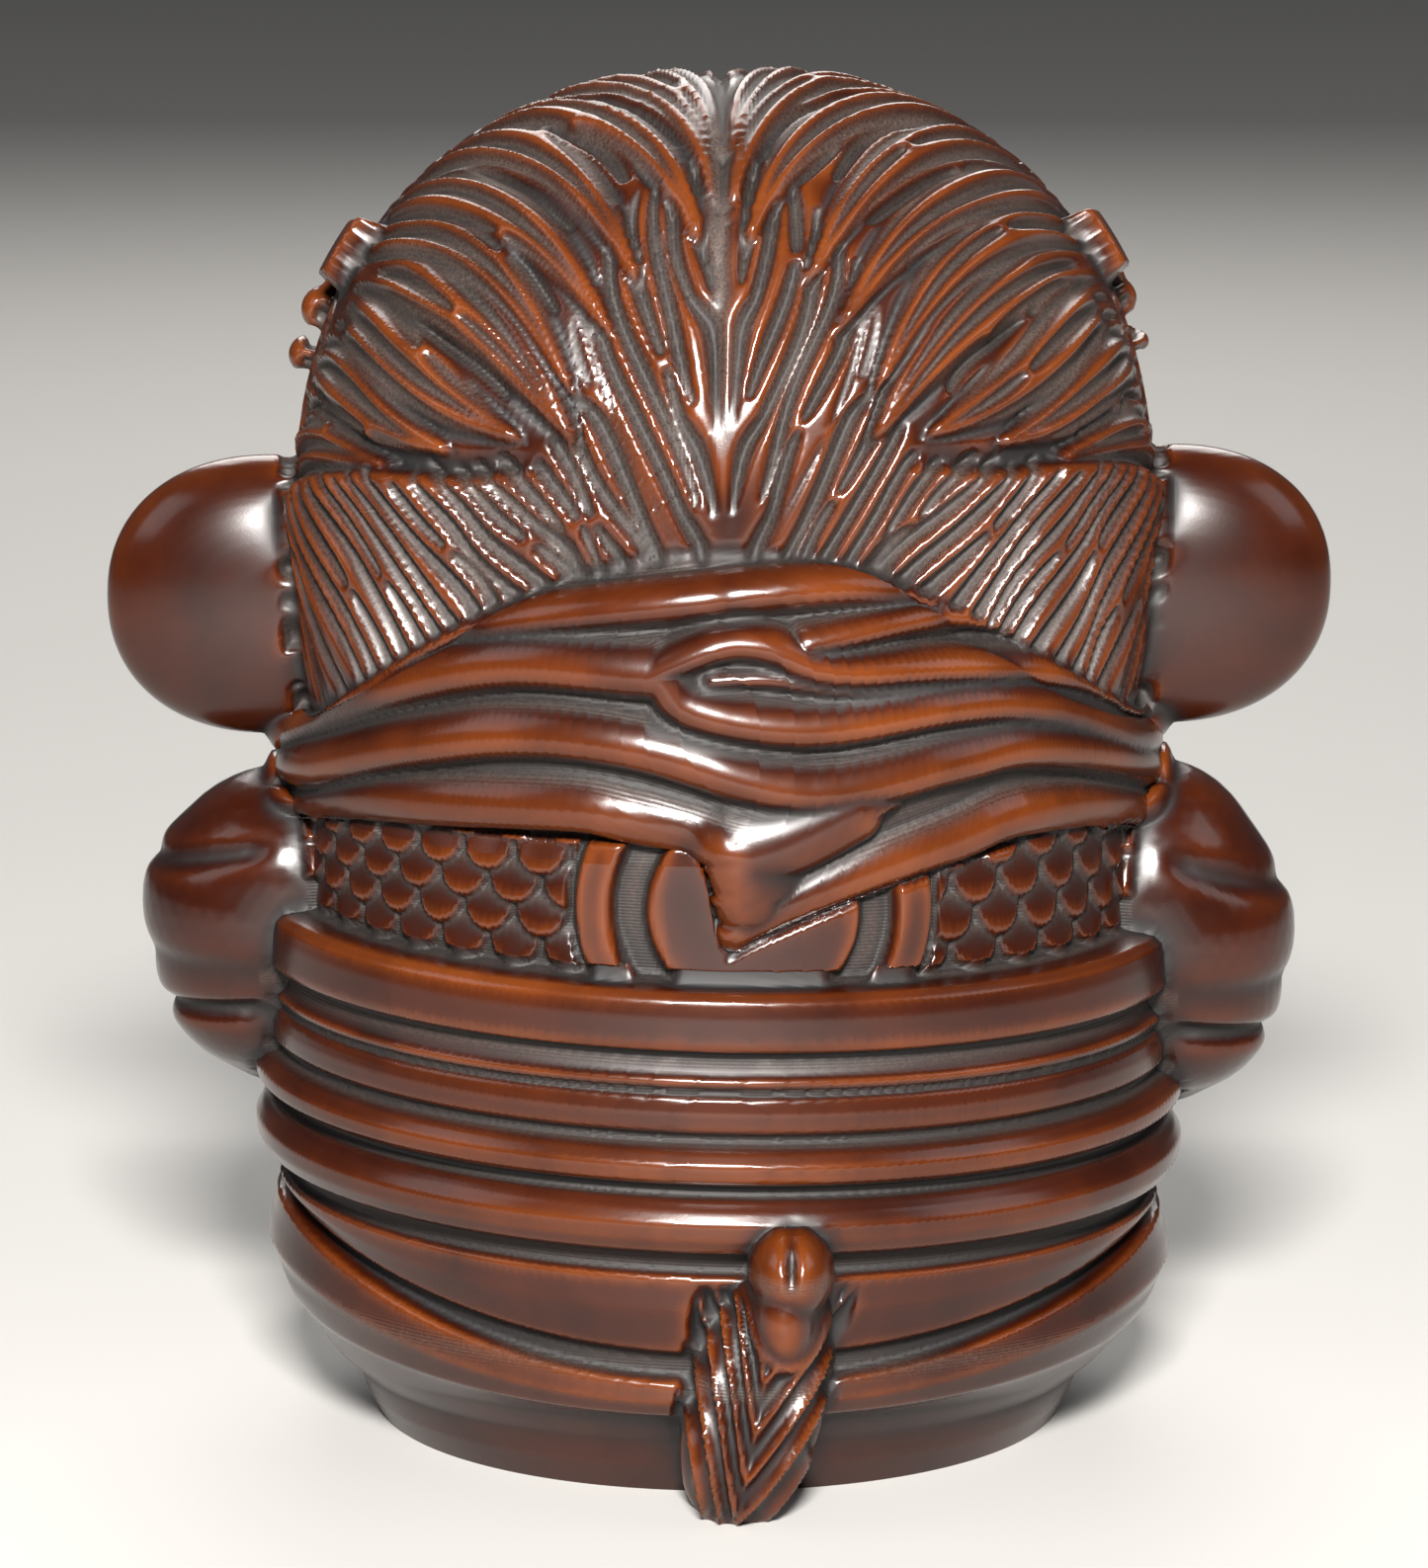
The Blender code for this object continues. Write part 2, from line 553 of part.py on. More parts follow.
def armour_closeness(points, turn):
    """1 on the chest between belt and scarf, 0 elsewhere."""
    lower = scarf_edges(turn)[1]
    radius = np.hypot(points[:, 0], points[:, 1] / BODY_DEPTH_RATIO)
    off = np.abs(radius - CHEST_RADIUS)
    level = points[:, 2]
    between = ease(BELT_TOP - 0.1, BELT_TOP + 0.2, level) * ease(lower + 0.3, lower - 0.2, level)
    return ease(0.8, 0.4, off) * between


def carve_tail(points):
    """Slot in the bud, and strands of the tuft that run down and meet on its middle line."""
    z = points[:, 2]
    x = points[:, 0] - TUFT_CENTRE[0] + TUFT_SLANT * (z - TUFT_CENTRE[2])
    behind = ease(BODY_DEPTH - 2.3, BODY_DEPTH - 1.3, points[:, 1])
    slot = bell(BUD_CENTRE[0], 0.32, points[:, 0]) * bell(BUD_CENTRE[2] + 0.8, 1.3, z)
    tuft = ease(3.3, 3.0, np.abs(x)) * ease(-0.4, 0.2, z) * ease(9.6, 8.8, z)
    slope = np.where(x > 0.0, 3.0, 1.7)
    phase = (z - slope * np.abs(x)) / TUFT_STRAND_PITCH
    strand = 1.0 - np.abs(2.0 * (phase - np.floor(phase)) - 1.0) ** 2.2
    around_bud = np.hypot((points[:, 0] - BUD_CENTRE[0]) / 1.9, (z - BUD_CENTRE[2] + 0.6) / 3.0)
    return behind * (-0.55 * slot - 0.5 * tuft * strand * ease(0.95, 1.1, around_bud))


def carve_arms(points):
    """Creases of the sleeve, and fingers on the fists."""
    x = np.abs(points[:, 0])
    y = points[:, 1]
    z = points[:, 2]
    outside = ease(BODY_RADIUS - 1.5, BODY_RADIUS + 0.1, x) * ease(-9.0, -5.0, y)
    lean = x - BODY_RADIUS - 0.9
    upper = 0.3 * bell(0.0, 0.5, z - 23.5 + 0.25 * lean)
    lower = 0.5 * bell(0.0, 0.5, z - 16.7 + 0.12 * lean)
    hand = ease(3.2, 3.8, x) * ease(9.6, 9.0, x) * ease(1.3, -0.2, y + BODY_DEPTH)
    hand = hand * ease(18.5, 18.0, z) * ease(11.5, 12.0, z)
    fingers = grooves((z - 12.2) / 3.0 - 1.0, 4)
    cuff = bell(10.6, 0.35, x) * (y < -11.0) * ease(20.0, 19.0, z) * ease(11.0, 12.0, z)
    return -outside * (upper + lower) + hand * (0.25 - 0.5 * fingers) - 0.4 * cuff


def carve_face(points):
    """Mouth, nostrils, eyelids and the edge of the face."""
    x = np.abs(points[:, 0])
    z = points[:, 2]
    front = ease(-9.0, -11.0, points[:, 1])
    mouth = bell(0.0, 0.35, z - MOUTH_LEVEL - 0.06 * x ** 2) * ease(5.6, 4.6, x)
    lip = bell(0.0, 0.35, x) * bell(MOUTH_LEVEL + 1.9, 1.6, z)
    nostril = np.exp(-((x - 0.95) ** 2 + (z - NOSE_LEVEL + 0.5) ** 2) / 0.2)
    eye = np.hypot((x - EYE_PLACE[0]) / 1.25, z - EYE_PLACE[2])
    lids = bell(1.75, 0.3, eye)
    gaze = bell(EYE_PLACE[2] + 0.15, 0.22, z) * ease(2.2, 1.8, np.abs(x - EYE_PLACE[0]))
    wide = x / 11.0
    tall = (z - HEAD_LEVEL + 1.25 + 1.2 * bell(0.0, 3.0, x)) / 8.6
    border = bell(1.0, 0.05, np.hypot(wide, tall))
    return -front * (0.6 * mouth + 0.35 * lip + 0.6 * nostril + 0.45 * lids + 0.35 * gaze + 0.5 * border)


def carve_ears(points):
    """Hollow in the front of each ear."""
    x = np.abs(points[:, 0])
    z = points[:, 2] - EAR_PLACE[2]
    bowl = ease(1.0, 0.55, np.hypot((x - 20.6) / 3.4, z / 4.2)) * ease(-0.2, -1.2, points[:, 1])
    return -1.5 * bowl


def carve(points, normals):
    """Move the skin's points along their normals."""
    turn = np.degrees(np.arctan2(points[:, 0], points[:, 1] / BODY_DEPTH_RATIO))
    on_head = ease(0.9, 0.5, np.abs(head_offset(points)))
    on_scarf = scarf_closeness(points, turn)
    on_head = on_head * (1.0 - on_scarf) * (1.0 - near_face(points))
    on_head = on_head * ease(-0.3, 0.5, points[:, 2] - scarf_edges(turn)[1] - 1.5)
    hair = carve_band(points, carve_hair(points))
    depth = on_head * hair
    depth = depth + on_scarf * (fold_height(turn, points[:, 2]) - 0.35)
    depth = depth + armour_closeness(points, turn) * carve_armour(points, turn)
    depth = depth + carve_tail(points) + carve_arms(points) + carve_face(points) + carve_ears(points)
    carved = points + normals * depth[:, None]
    level = carved[:, 2]
    lean = BELT_LEAN * ease(1.0, 8.0, level)
    lean = lean + (HEAD_LEAN - lean) * ease(BELT_TOP + 1.0, BELT_TOP + 7.0, level)
    carved[:, 2] = level + lean * carved[:, 0]
    return carved


def read_points(mesh, field):
    """Places or normals of a mesh's points as rows of numbers."""
    values = np.empty(len(mesh.vertices) * 3, dtype=np.float32)
    getattr(mesh, field).foreach_get("co" if field == "vertices" else "vector", values)
    return values.reshape(-1, 3).astype(np.float64)


def simplified(mesh):
    """The carved skin with fewer, larger triangles where it is smooth."""
    holder = holder_of(mesh, "carved")
    holder.modifiers.new("triangles", "TRIANGULATE")
    mesh = evaluated_mesh(holder)
    holder = holder_of(mesh, "carved")
    fewer = holder.modifiers.new("fewer", "DECIMATE")
    fewer.ratio = TRIANGLES / len(mesh.polygons)
    return evaluated_mesh(holder)


def cut_flat(mesh):
    """Cut the base at Z = 0, close it, centre it over the origin and bring it to metres."""
    shape = bmesh.new()
    shape.from_mesh(mesh)
    everything = shape.verts[:] + shape.edges[:] + shape.faces[:]
    bmesh.ops.bisect_plane(
        shape, geom=everything, dist=0.02, plane_co=(0, 0, 0), plane_no=(0, 0, 1), clear_inner=True
    )
    rim = [edge for edge in shape.edges if edge.is_boundary]
    bmesh.ops.holes_fill(shape, edges=rim)
    bmesh.ops.triangulate(shape, faces=shape.faces[:])
    for axis in (0, 1):
        reach = [vert.co[axis] for vert in shape.verts]
        middle = (min(reach) + max(reach)) / 2
        shift = Vector((0.0, 0.0, 0.0))
        shift[axis] = -middle
        bmesh.ops.translate(shape, vec=shift, verts=shape.verts)
    bmesh.ops.scale(shape, vec=(MM, MM, MM), verts=shape.verts)
    bmesh.ops.recalc_face_normals(shape, faces=shape.faces)
    shape.to_mesh(mesh)
    shape.free()


def wood():
    """Polished boxwood, plain colour; the scene sets the finish."""
    material = bpy.data.materials.new("boxwood")
    material.use_nodes = True
    shader = material.node_tree.nodes["Principled BSDF"]
    shader.inputs["Base Color"].default_value = BOXWOOD
    shader.inputs["Roughness"].default_value = 0.35
    shader.inputs["Metallic"].default_value = 0.0
    return material


def main():
    """Build the figurine in its own collection."""
    for item in list(bpy.data.objects):
        bpy.data.objects.remove(item, do_unlink=True)
    mesh = block_out()
    carved = carve(read_points(mesh, "vertices"), read_points(mesh, "vertex_normals"))
    mesh.vertices.foreach_set("co", carved.astype(np.float32).ravel())
    mesh = simplified(mesh)
    cut_flat(mesh)
    mesh.name = NAME
    mesh.materials.clear()
    mesh.materials.append(wood())
    figure = bpy.data.objects.new(NAME, mesh)
    group = bpy.data.collections.new(NAME)
    bpy.context.scene.collection.children.link(group)
    group.objects.link(figure)


main()
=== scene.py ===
import math

import bmesh
import bpy
import numpy as np
from mathutils import Matrix, Vector


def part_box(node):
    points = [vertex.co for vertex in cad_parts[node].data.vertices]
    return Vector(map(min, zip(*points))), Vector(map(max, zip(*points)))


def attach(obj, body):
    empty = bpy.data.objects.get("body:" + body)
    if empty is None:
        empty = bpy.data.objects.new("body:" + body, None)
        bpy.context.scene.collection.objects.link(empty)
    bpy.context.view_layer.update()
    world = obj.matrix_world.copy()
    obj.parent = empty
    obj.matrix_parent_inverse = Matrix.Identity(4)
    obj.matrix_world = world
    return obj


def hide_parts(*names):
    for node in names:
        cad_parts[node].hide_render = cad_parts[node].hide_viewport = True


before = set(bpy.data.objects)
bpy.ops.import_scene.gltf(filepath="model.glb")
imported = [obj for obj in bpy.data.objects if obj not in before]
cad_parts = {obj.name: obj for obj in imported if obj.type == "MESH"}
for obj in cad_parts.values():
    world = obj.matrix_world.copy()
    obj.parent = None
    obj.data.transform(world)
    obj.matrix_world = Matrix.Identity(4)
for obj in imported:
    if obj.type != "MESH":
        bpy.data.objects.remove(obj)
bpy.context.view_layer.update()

MM = 0.001
HEIGHT = 55.0
WIDTH_OVER_EARS = 49.6
SKIN_CELL = 0.16

HEAD_HALF = (17.3, 15.6, 18.6)
HEAD_POWER = 2.35
HAIR_RISE = 0.15
HEAD_CENTRE = (-0.2, -0.5, HEIGHT - HEAD_HALF[2] - HAIR_RISE)

BODY_RADIUS = 19.1
BODY_DEPTH_RATIO = 0.93
BODY_FACETS = 480
CHEST_RADIUS = BODY_RADIUS - 2.3
BELT_TOP = 21.1
SIDE_POWER = 2.3

BELT_LEAN = 0.025
HEAD_LEAN = -0.012

# body profile as (inset, level) behind and the same at the sides, from the neck to below the base
NECK = ((7.0, 36.6), (3.8, 32.0), (2.5, 27.5), (2.3, 26.0), (2.3, 21.6))
BELTS = (
    (1.9, 21.4), (0.75, 21.2), (0.45, 20.9), (0.35, 20.3), (0.3, 19.2), (0.42, 18.95), (1.05, 18.82),
    (1.15, 18.6), (1.0, 18.1), (0.85, 17.88), (0.62, 17.72), (0.72, 17.45), (1.0, 17.3),
    (0.98, 17.15), (0.68, 17.0), (0.58, 16.4), (0.62, 15.8), (0.8, 15.6), (1.05, 15.5), (1.0, 15.25),
    (0.72, 15.08), (0.4, 14.9), (0.05, 14.45), (0.1, 13.9), (0.4, 13.65), (1.05, 13.5), (1.15, 13.1),
    (0.7, 12.92), (0.35, 12.55), (0.08, 12.1), (0.1, 11.5), (0.4, 10.95), (1.2, 10.62), (1.45, 10.3),
    (1.5, 9.95),
)
SKIRT = (
    ((1.0, 9.7), (1.0, 9.85)), ((1.1, 8.4), (1.0, 9.7)), ((1.6, 6.6), (1.2, 9.55)),
    ((2.2, 6.2), (2.0, 9.4)), ((2.2, 5.5), (2.0, 9.15)), ((1.5, 5.25), (0.9, 9.0)),
    ((1.45, 4.5), (0.5, 7.1)), ((1.9, 3.9), (1.3, 5.1)), ((3.1, 3.5), (3.1, 2.8)),
    ((3.9, 2.3), (4.1, 2.0)), ((4.3, 1.2), (4.5, 0.9)), ((4.9, 0.0), (5.0, 0.0)),
    ((4.9, -2.0), (5.0, -2.0)),
)

SCARF_RADIUS = 15.1
SCARF_HALF_DEPTH = 2.3
SCARF_DEPTH_RATIO = 0.96
SCARF_POWER = 3.0

# levels of the scarf's edges on the chest, and how much higher they are behind
SCARF_TOP = 29.6
SCARF_TOP_RISE = 8.6
SCARF_BOTTOM = 24.4
SCARF_BOTTOM_RISE = 2.5

# the pointed end: its turn from the back, its drop, and its spread to either side in degrees
SCARF_TIP_TURN = -1.0
SCARF_TIP_DROP = 4.5
SCARF_TIP_STEEP = 1.5
SCARF_TIP_GENTLE = 26.0

# folds of the scarf: half-width, height and (turn from the back in degrees, level) points
SCARF_FOLDS = (
    (1.0, 1.0, ((180, 29.4), (110, 29.0), (75, 29.6), (49, 33.0), (34, 34.9), (13, 36.1), (-13, 36.8),
                (-28, 36.3))),
    (0.8, 0.9, ((-11, 34.7), (-25, 35.3), (-37, 35.2), (-50, 33.8), (-69, 30.7), (-100, 29.0), (-180, 29.4))),
    (1.3, 1.1, ((180, 27.6), (100, 27.9), (69, 30.2), (44, 32.6), (26, 33.8), (8, 33.6))),
    (0.9, 1.1, ((8, 33.7), (0, 34.7), (-6, 34.6), (-14, 33.6), (-31, 33.3), (-52, 32.2), (-82, 29.2),
                (-100, 28.0))),
    (0.5, 0.7, ((1, 33.4), (-6, 33.4), (-16, 32.8), (-28, 32.6))),
    (1.1, 1.1, ((7, 33.5), (3, 32.2), (-11, 31.4), (-31, 31.8), (-47, 31.1), (-86, 27.9), (-180, 27.4))),
    (1.2, 1.1, ((180, 26.0), (86, 27.2), (44, 30.0), (26, 31.0), (10, 30.7), (-11, 28.9), (-31, 29.6),
                (-47, 29.6), (-86, 26.7), (-110, 26.0))),
    (1.1, 1.1, ((180, 24.6), (86, 25.2), (50, 27.4), (22, 28.1), (11, 27.7), (-2, 26.6), (-9, 26.6))),
    (1.7, 1.1, ((-3, 26.3), (-9, 26.8), (-17, 28.0))),
    (2.0, 1.1, ((-3, 26.0), (-4, 25.2), (-4, 24.6))),
    (1.0, 1.1, ((0, 22.9), (-4, 23.5), (-10, 24.5), (-31, 26.3), (-47, 27.0), (-90, 25.2), (-180, 24.8))),
)

DISC_CENTRE = (-1.3, 24.2)
DISC_RADIUS = 4.05
RING_INNER = 5.35
RING_OUTER = 6.8
SCALE_WIDTH = 2.35
SCALE_PITCH = 1.3
SCALE_LIFT = 0.5
SCALES_TALL = 8.0
PLATE_LIFT = 0.65
RING_LIFT = 0.7

# tooled furrows around the body: level and half-width
FURROWS = ((18.4, 0.3), (17.3, 0.2), (15.3, 0.25), (13.2, 0.2), (10.2, 0.3), (5.8, 0.35))

STRAND_PITCH = 1.05
STRAND_DEPTH = 0.58

# lines that the strands of one side follow: four places on the way as (angle off the middle
# plane, angle from straight up towards the back); between each line and the next lie that many
# strands, and they end at that share of the way
STRAND_LINES = (
    ((3, 4, 4, 3, 2, 3), 1.0, (
        ((88, 66), (88, 105), (84, 128), (78, 142)), ((84, 58), (80, 104), (70, 128), (60, 140)),
        ((79, 50), (74, 86), (61, 106), (48, 122)), ((66, 56), (56, 78), (48, 92), (38, 110)),
        ((54, 64), (47, 77), (40, 89), (30, 105)), ((45, 67), (40, 78), (33, 87), (22, 102)),
        ((37, 67), (30, 75), (23, 83), (13, 98)))),
    ((3, 2, 3, 2, 2, 2), 1.0, (
        ((37, 67), (31, 75), (24, 84), (16, 100)), ((25, 67), (20, 76), (15, 86), (9, 98)),
        ((21, 55), (18, 67), (12, 80), (5.5, 96)), ((17, 42), (15.5, 58), (9, 75), (2.5, 94)),
        ((11, 34), (12, 50), (6, 67), (1.2, 88)), ((6, 28), (7, 43), (3.5, 58), (0.8, 76)),
        ((1.2, 24), (2.2, 37), (1.2, 50), (0.4, 64)))),
    ((5, 3, 3, 3, 2, 3, 3, 3, 3, 3), 0.86, (
        ((84, 26), (74, 42), (63, 57), (46, 68)), ((68, 14), (58, 40), (49, 57), (37, 67)),
        ((58, 18), (47, 42), (38, 57), (27, 67)), ((48, 22), (38, 37), (29, 51), (19, 68)),
        ((54, 2), (40, 25), (29, 41), (19, 63)), ((50, -8), (37, 18), (25, 35), (15, 54)),
        ((42, -12), (31, 10), (20, 27), (10, 47)), ((36, -16), (23, 6), (11, 23), (3, 42)),
        ((27, -22), (15, -2), (6, 16), (1, 36)), ((16, -26), (8, -6), (3, 12), (0.4, 28)),
        ((-2, -28), (-1.5, -8), (-0.6, 8), (0, 24)))),
)

# locks laid over the strands, lowest first: four places, the width and how far the lock stands up
LOCKS = (
    ((82, 24), (72, 41), (61, 56), (45, 68), 3.6, 0.45),
    ((67, 14), (57, 40), (48, 57), (36, 67), 3.6, 0.5),
    ((57, 18), (47, 42), (38, 57), (26, 67), 3.6, 0.55),
    ((48, 22), (38, 37), (29, 51), (19, 69), 4.0, 0.6),
    ((54, 2), (40, 25), (29, 41), (19, 63), 3.4, 0.5),
    ((50, -8), (37, 18), (25, 35), (14, 55), 3.6, 0.5),
    ((42, -12), (31, 10), (20, 27), (10, 49), 3.6, 0.45),
    ((36, -16), (23, 6), (11, 23), (2.5, 44), 3.6, 0.45),
    ((27, -22), (15, -2), (6, 16), (0.8, 38), 3.2, 0.4),
    ((14, -26), (7, -6), (3, 12), (0.3, 30), 2.8, 0.35),
)

# where the upper hair overhangs the hair below it, as in STRAND_LINES
SHELF = ((84, 30), (72, 46), (58, 62), (40, 70), (27, 71))
SHELF_DEPTH = 0.75

BAND_LEVEL = 47.9
BAND_SLOPE = 0.17
BAND_HALF_WIDTH = 1.0
BAND_LIFT = 0.75
BAND_END = 2.6

# arms from shoulder to fist on the +X side: (x, y, z, radius)
ARM = (
    (15.0, 0.0, 23.6, 3.7),
    (17.6, 0.2, 22.0, 4.9),
    (18.5, 0.0, 20.6, 5.1),
    (18.6, -0.6, 17.9, 4.5),
    (18.2, -3.2, 15.9, 3.6),
    (16.4, -8.4, 15.3, 3.5),
    (12.8, -13.2, 15.2, 3.4),
    (9.2, -15.8, 15.2, 3.1),
    (6.6, -16.8, 15.2, 3.2),
)

BUD_CENTRE = (-2.8, 17.4, 10.3)
BUD_HALF = (1.7, 2.4, 1.9)
BUD_NECK_HALF = (1.35, 2.3, 2.4)
TUFT_CENTRE = (-1.5, 15.5, 4.8)
TUFT_HALF = (2.8, 4.1, 5.4)
TUFT_SLANT = 0.17
TUFT_POWER = 2.5
TUFT_STRAND = 2.1

EAR_PLACE = (18.2, 0.3, 34.1)
EAR_HALF_DEPTH = 2.8
EAR_HALF_HEIGHT = 5.7

EYE_PLACE = (4.7, -15.6, 37.3)
EYE_RADIUS = 2.2
EYE_HALF = (EYE_RADIUS, 1.9, 1.8)
FACE_CENTRE = (0.0, -8.2, 35.4)
FACE_HALF = (11.4, 8.6, 8.4)
MUZZLE_CENTRE = (0.0, -13.9, 31.6)
MUZZLE_HALF = (7.0, 5.6, 4.8)
CHEEK_PLACE = (8.6, -11.8, 32.0)
CHEEK_HALF = (3.6, 3.8, 4.0)
BROW_PLACE = (4.8, -15.0, 40.4)
BROW_HALF = (4.0, 2.2, 1.3)
NOSE_PLACE = (0.0, -18.5, 34.6)
NOSE_HALF = (2.0, 1.3, 1.3)
BRIDGE_PLACE = (0.0, -16.4, 37.4)
BRIDGE_HALF = (1.2, 1.6, 3.4)

# knobs on each temple: centre and half sizes
TEMPLE_KNOBS = (((16.0, -2.0, 45.4), (0.95, 1.1, 0.95)), ((16.7, -2.4, 43.5), (0.8, 1.3, 0.8)))

BOOT_CENTRE = (7.0, -2.5, 0.2)
BOOT_HALF = (7.2, 11.6, 2.6)
TOE_CENTRE = (6.8, -12.2, 0.6)
TOE_HALF = (4.8, 5.2, 3.4)
KNOT_CENTRE = (0.0, -17.3, 24.6)
KNOT_HALF = (3.4, 2.4, 2.6)
KNOT_END = ((0.8, -17.8, 23.6, 1.4), (2.8, -18.1, 20.4, 1.2), (3.4, -17.9, 18.6, 0.8))
BOSS_CENTRE = (0.0, -17.6, 14.6)
BOSS_HALF = (3.1, 1.9, 3.1)

# smoothing that tells ridges from cuts, for the painted shade that darkens the cuts: rounds on a skin of the
# named cell, and the rise of a full ridge
RELIEF_CELL = 0.17
FINE_ROUNDS = 12
FINE_RISE = 0.2
BROAD_ROUNDS = 45
BROAD_RISE = 1.1
HAIR_SOFTENING = 0.6
TRIANGLES_A_PIECE = 185000

CAMERA_PLACE = (0.0002, 0.280, 0.084)
CAMERA_AIM = (0.0002, 0.0, 0.0259)
CAMERA_LENS = 160.7
NEUTRAL = (1.0, 0.98, 0.95)
COOL = (0.95, 0.97, 1.0)

# studio lights: name, place, aim, size, watts and colour
LIGHTS = (
    ("key", (0.0, 0.30, 0.20), (0.0, 0.0, 0.02), (0.07, 0.045), 4.2, NEUTRAL),
    ("left", (0.30, 0.10, 0.25), (0.0, 0.0, 0.03), (0.20, 0.20), 0.2, COOL),
    ("right", (-0.30, 0.10, 0.25), (0.0, 0.0, 0.03), (0.20, 0.20), 0.2, COOL),
    ("front", (0.0, -0.30, 0.25), (0.0, 0.0, 0.03), (0.25, 0.25), 0.9, NEUTRAL),
)
SKY_COLOUR = (0.85, 0.88, 0.92, 1.0)
SKY_STRENGTH = 0.08
FLOOR_COLOUR = (0.42, 0.41, 0.395, 1.0)
FLOOR_HALF = 3

# wood colours from the bottom of a cut to the crest of a ridge, going near-black in the cuts as painted
# shade, and the grey in the strokes, partly dust and partly painted sheen
WOOD_TONES_WITH_PAINTED_SHADE = (
    (0.0, (0.002, 0.001, 0.001)), (0.25, (0.006, 0.002, 0.0015)), (0.45, (0.018, 0.003, 0.001)),
    (0.62, (0.036, 0.0062, 0.0012)), (0.95, (0.110, 0.024, 0.003)),
)
WOOD_BLOTCHES = ((0.30, (0.55, 0.50, 0.52)), (0.60, (1.0, 1.0, 1.0)))
WOOD_SHADES = ((0.35, (0.65, 0.56, 0.58)), (0.62, (1.0, 1.0, 1.0)))
DUST_AND_SHEEN_TONES = ((0.35, (0.022, 0.014, 0.011)), (0.70, (0.075, 0.048, 0.037)))
TOOL_LINE_PITCH = 0.13


def ease(low, high, value):
    """Rise smoothly from 0 at low to 1 at high; high may be the smaller of the two."""
    part = np.clip((value - low) / (high - low), 0.0, 1.0)
    return part * part * (3.0 - 2.0 * part)


def bell(middle, half, value):
    """1 at the middle, fading to both sides."""
    return np.exp(-((value - middle) / half) ** 2)


unit_balls = {}


def unit_ball(detail):
    """Points and triangles of a ball of radius 1."""
    if detail not in unit_balls:
        ball = bmesh.new()
        bmesh.ops.create_icosphere(ball, subdivisions=detail, radius=1.0)
        ways = np.array([vert.co[:] for vert in ball.verts])
        faces = np.array([[vert.index for vert in face.verts] for face in ball.faces])
        unit_balls[detail] = (ways, faces)
        ball.free()
    return unit_balls[detail]


def ball(blocks, centre, half, power=2.0, detail=4):
    """Add a closed ball of the given half sizes; a power above 2 makes it blockier."""
    ways, faces = unit_ball(detail)
    reach = (np.abs(ways) ** power).sum(axis=1) ** (-1.0 / power)
    blocks.append((np.array(centre) + np.array(half) * ways * reach[:, None], faces))


def both_sides(blocks, centre, half, power=2.0, detail=4):
    """Add a ball and its mirror image."""
    for side in (1, -1):
        ball(blocks, (side * centre[0], centre[1], centre[2]), half, power, detail)


def limb(blocks, route, side):
    """Add a soft tube of balls along a route of (x, y, z, radius)."""
    steps = 9
    for first, last in zip(route, route[1:]):
        for step in range(steps + 1):
            share = step / steps
            x, y, z, radius = [a + (b - a) * share for a, b in zip(first, last)]
            ball(blocks, (side * x, y, z), (radius, radius, radius))


def grid_faces(rows, columns, closed):
    """Triangles of a grid that closes on itself along its columns, and along its rows if closed."""
    row = np.arange(rows if closed else rows - 1)[:, None]
    column = np.arange(columns)[None, :]
    below = (row + 1) % rows
    beside = (column + 1) % columns
    a, b = row * columns + column, below * columns + column
    c, d = below * columns + beside, row * columns + beside
    return np.concatenate([np.stack([a, b, c], -1).reshape(-1, 3), np.stack([a, c, d], -1).reshape(-1, 3)])


def scarf_edges(turn):
    """Upper and lower level of the scarf at a turn from the back, in degrees."""
    away = np.abs(turn)
    upper = SCARF_TOP + SCARF_TOP_RISE * (1.0 - ease(4.0, 82.0, away))
    lower = SCARF_BOTTOM + SCARF_BOTTOM_RISE * (1.0 - ease(48.0, 95.0, away))
    past_tip = turn - SCARF_TIP_TURN
    spread = np.where(past_tip > 0.0, SCARF_TIP_STEEP, SCARF_TIP_GENTLE)
    lower = lower - SCARF_TIP_DROP * np.exp(-np.abs(past_tip) / spread)
    return upper, lower


def add_body(blocks):
    """Turn the body profile, with the hem rising towards both sides."""
    turns = np.linspace(0.0, 2.0 * math.pi, BODY_FACETS, endpoint=False)
    sideways = np.abs(np.cos(turns)) ** SIDE_POWER
    rows = []
    for behind, beside in [(row, row) for row in NECK + BELTS] + list(SKIRT):
        inset = behind[0] + (beside[0] - behind[0]) * sideways
        level = behind[1] + (beside[1] - behind[1]) * sideways
        radius = BODY_RADIUS - inset
        rows.append(np.stack([radius * np.cos(turns), radius * np.sin(turns) * BODY_DEPTH_RATIO, level], -1))
    points = np.concatenate(rows)
    faces = grid_faces(len(rows), BODY_FACETS, False)
    ends = []
    for centre, first in ((len(points), 0), (len(points) + 1, (len(rows) - 1) * BODY_FACETS)):
        ring = first + np.arange(BODY_FACETS)
        ends.append(np.stack([ring, np.roll(ring, -1), np.full(BODY_FACETS, centre)], -1))
    middles = [[0.0, 0.0, rows[0][0][2]], [0.0, 0.0, rows[-1][0][2]]]
    blocks.append((np.concatenate([points, middles]), np.concatenate([faces] + ends)))


def add_scarf(blocks):
    """Shape a ring of flattened cross-section into the scarf."""
    around, section = 480, 96
    turn = np.linspace(-180.0, 180.0, around, endpoint=False)
    upper, lower = scarf_edges(turn)
    angle = np.linspace(0.0, 2.0 * math.pi, section, endpoint=False)
    total = np.abs(np.cos(angle)) ** SCARF_POWER + np.abs(np.sin(angle)) ** SCARF_POWER
    reach = total ** (-1.0 / SCARF_POWER)
    radius = SCARF_RADIUS + SCARF_HALF_DEPTH * np.cos(angle) * reach
    level = (upper + lower)[:, None] / 2 + (upper - lower)[:, None] / 2 * (np.sin(angle) * reach)[None, :]
    x = np.sin(np.radians(turn))[:, None] * radius[None, :]
    y = np.cos(np.radians(turn))[:, None] * radius[None, :] * SCARF_DEPTH_RATIO
    points = np.stack([x, y, level], -1).reshape(-1, 3)
    blocks.append((points, grid_faces(around, section, True)))


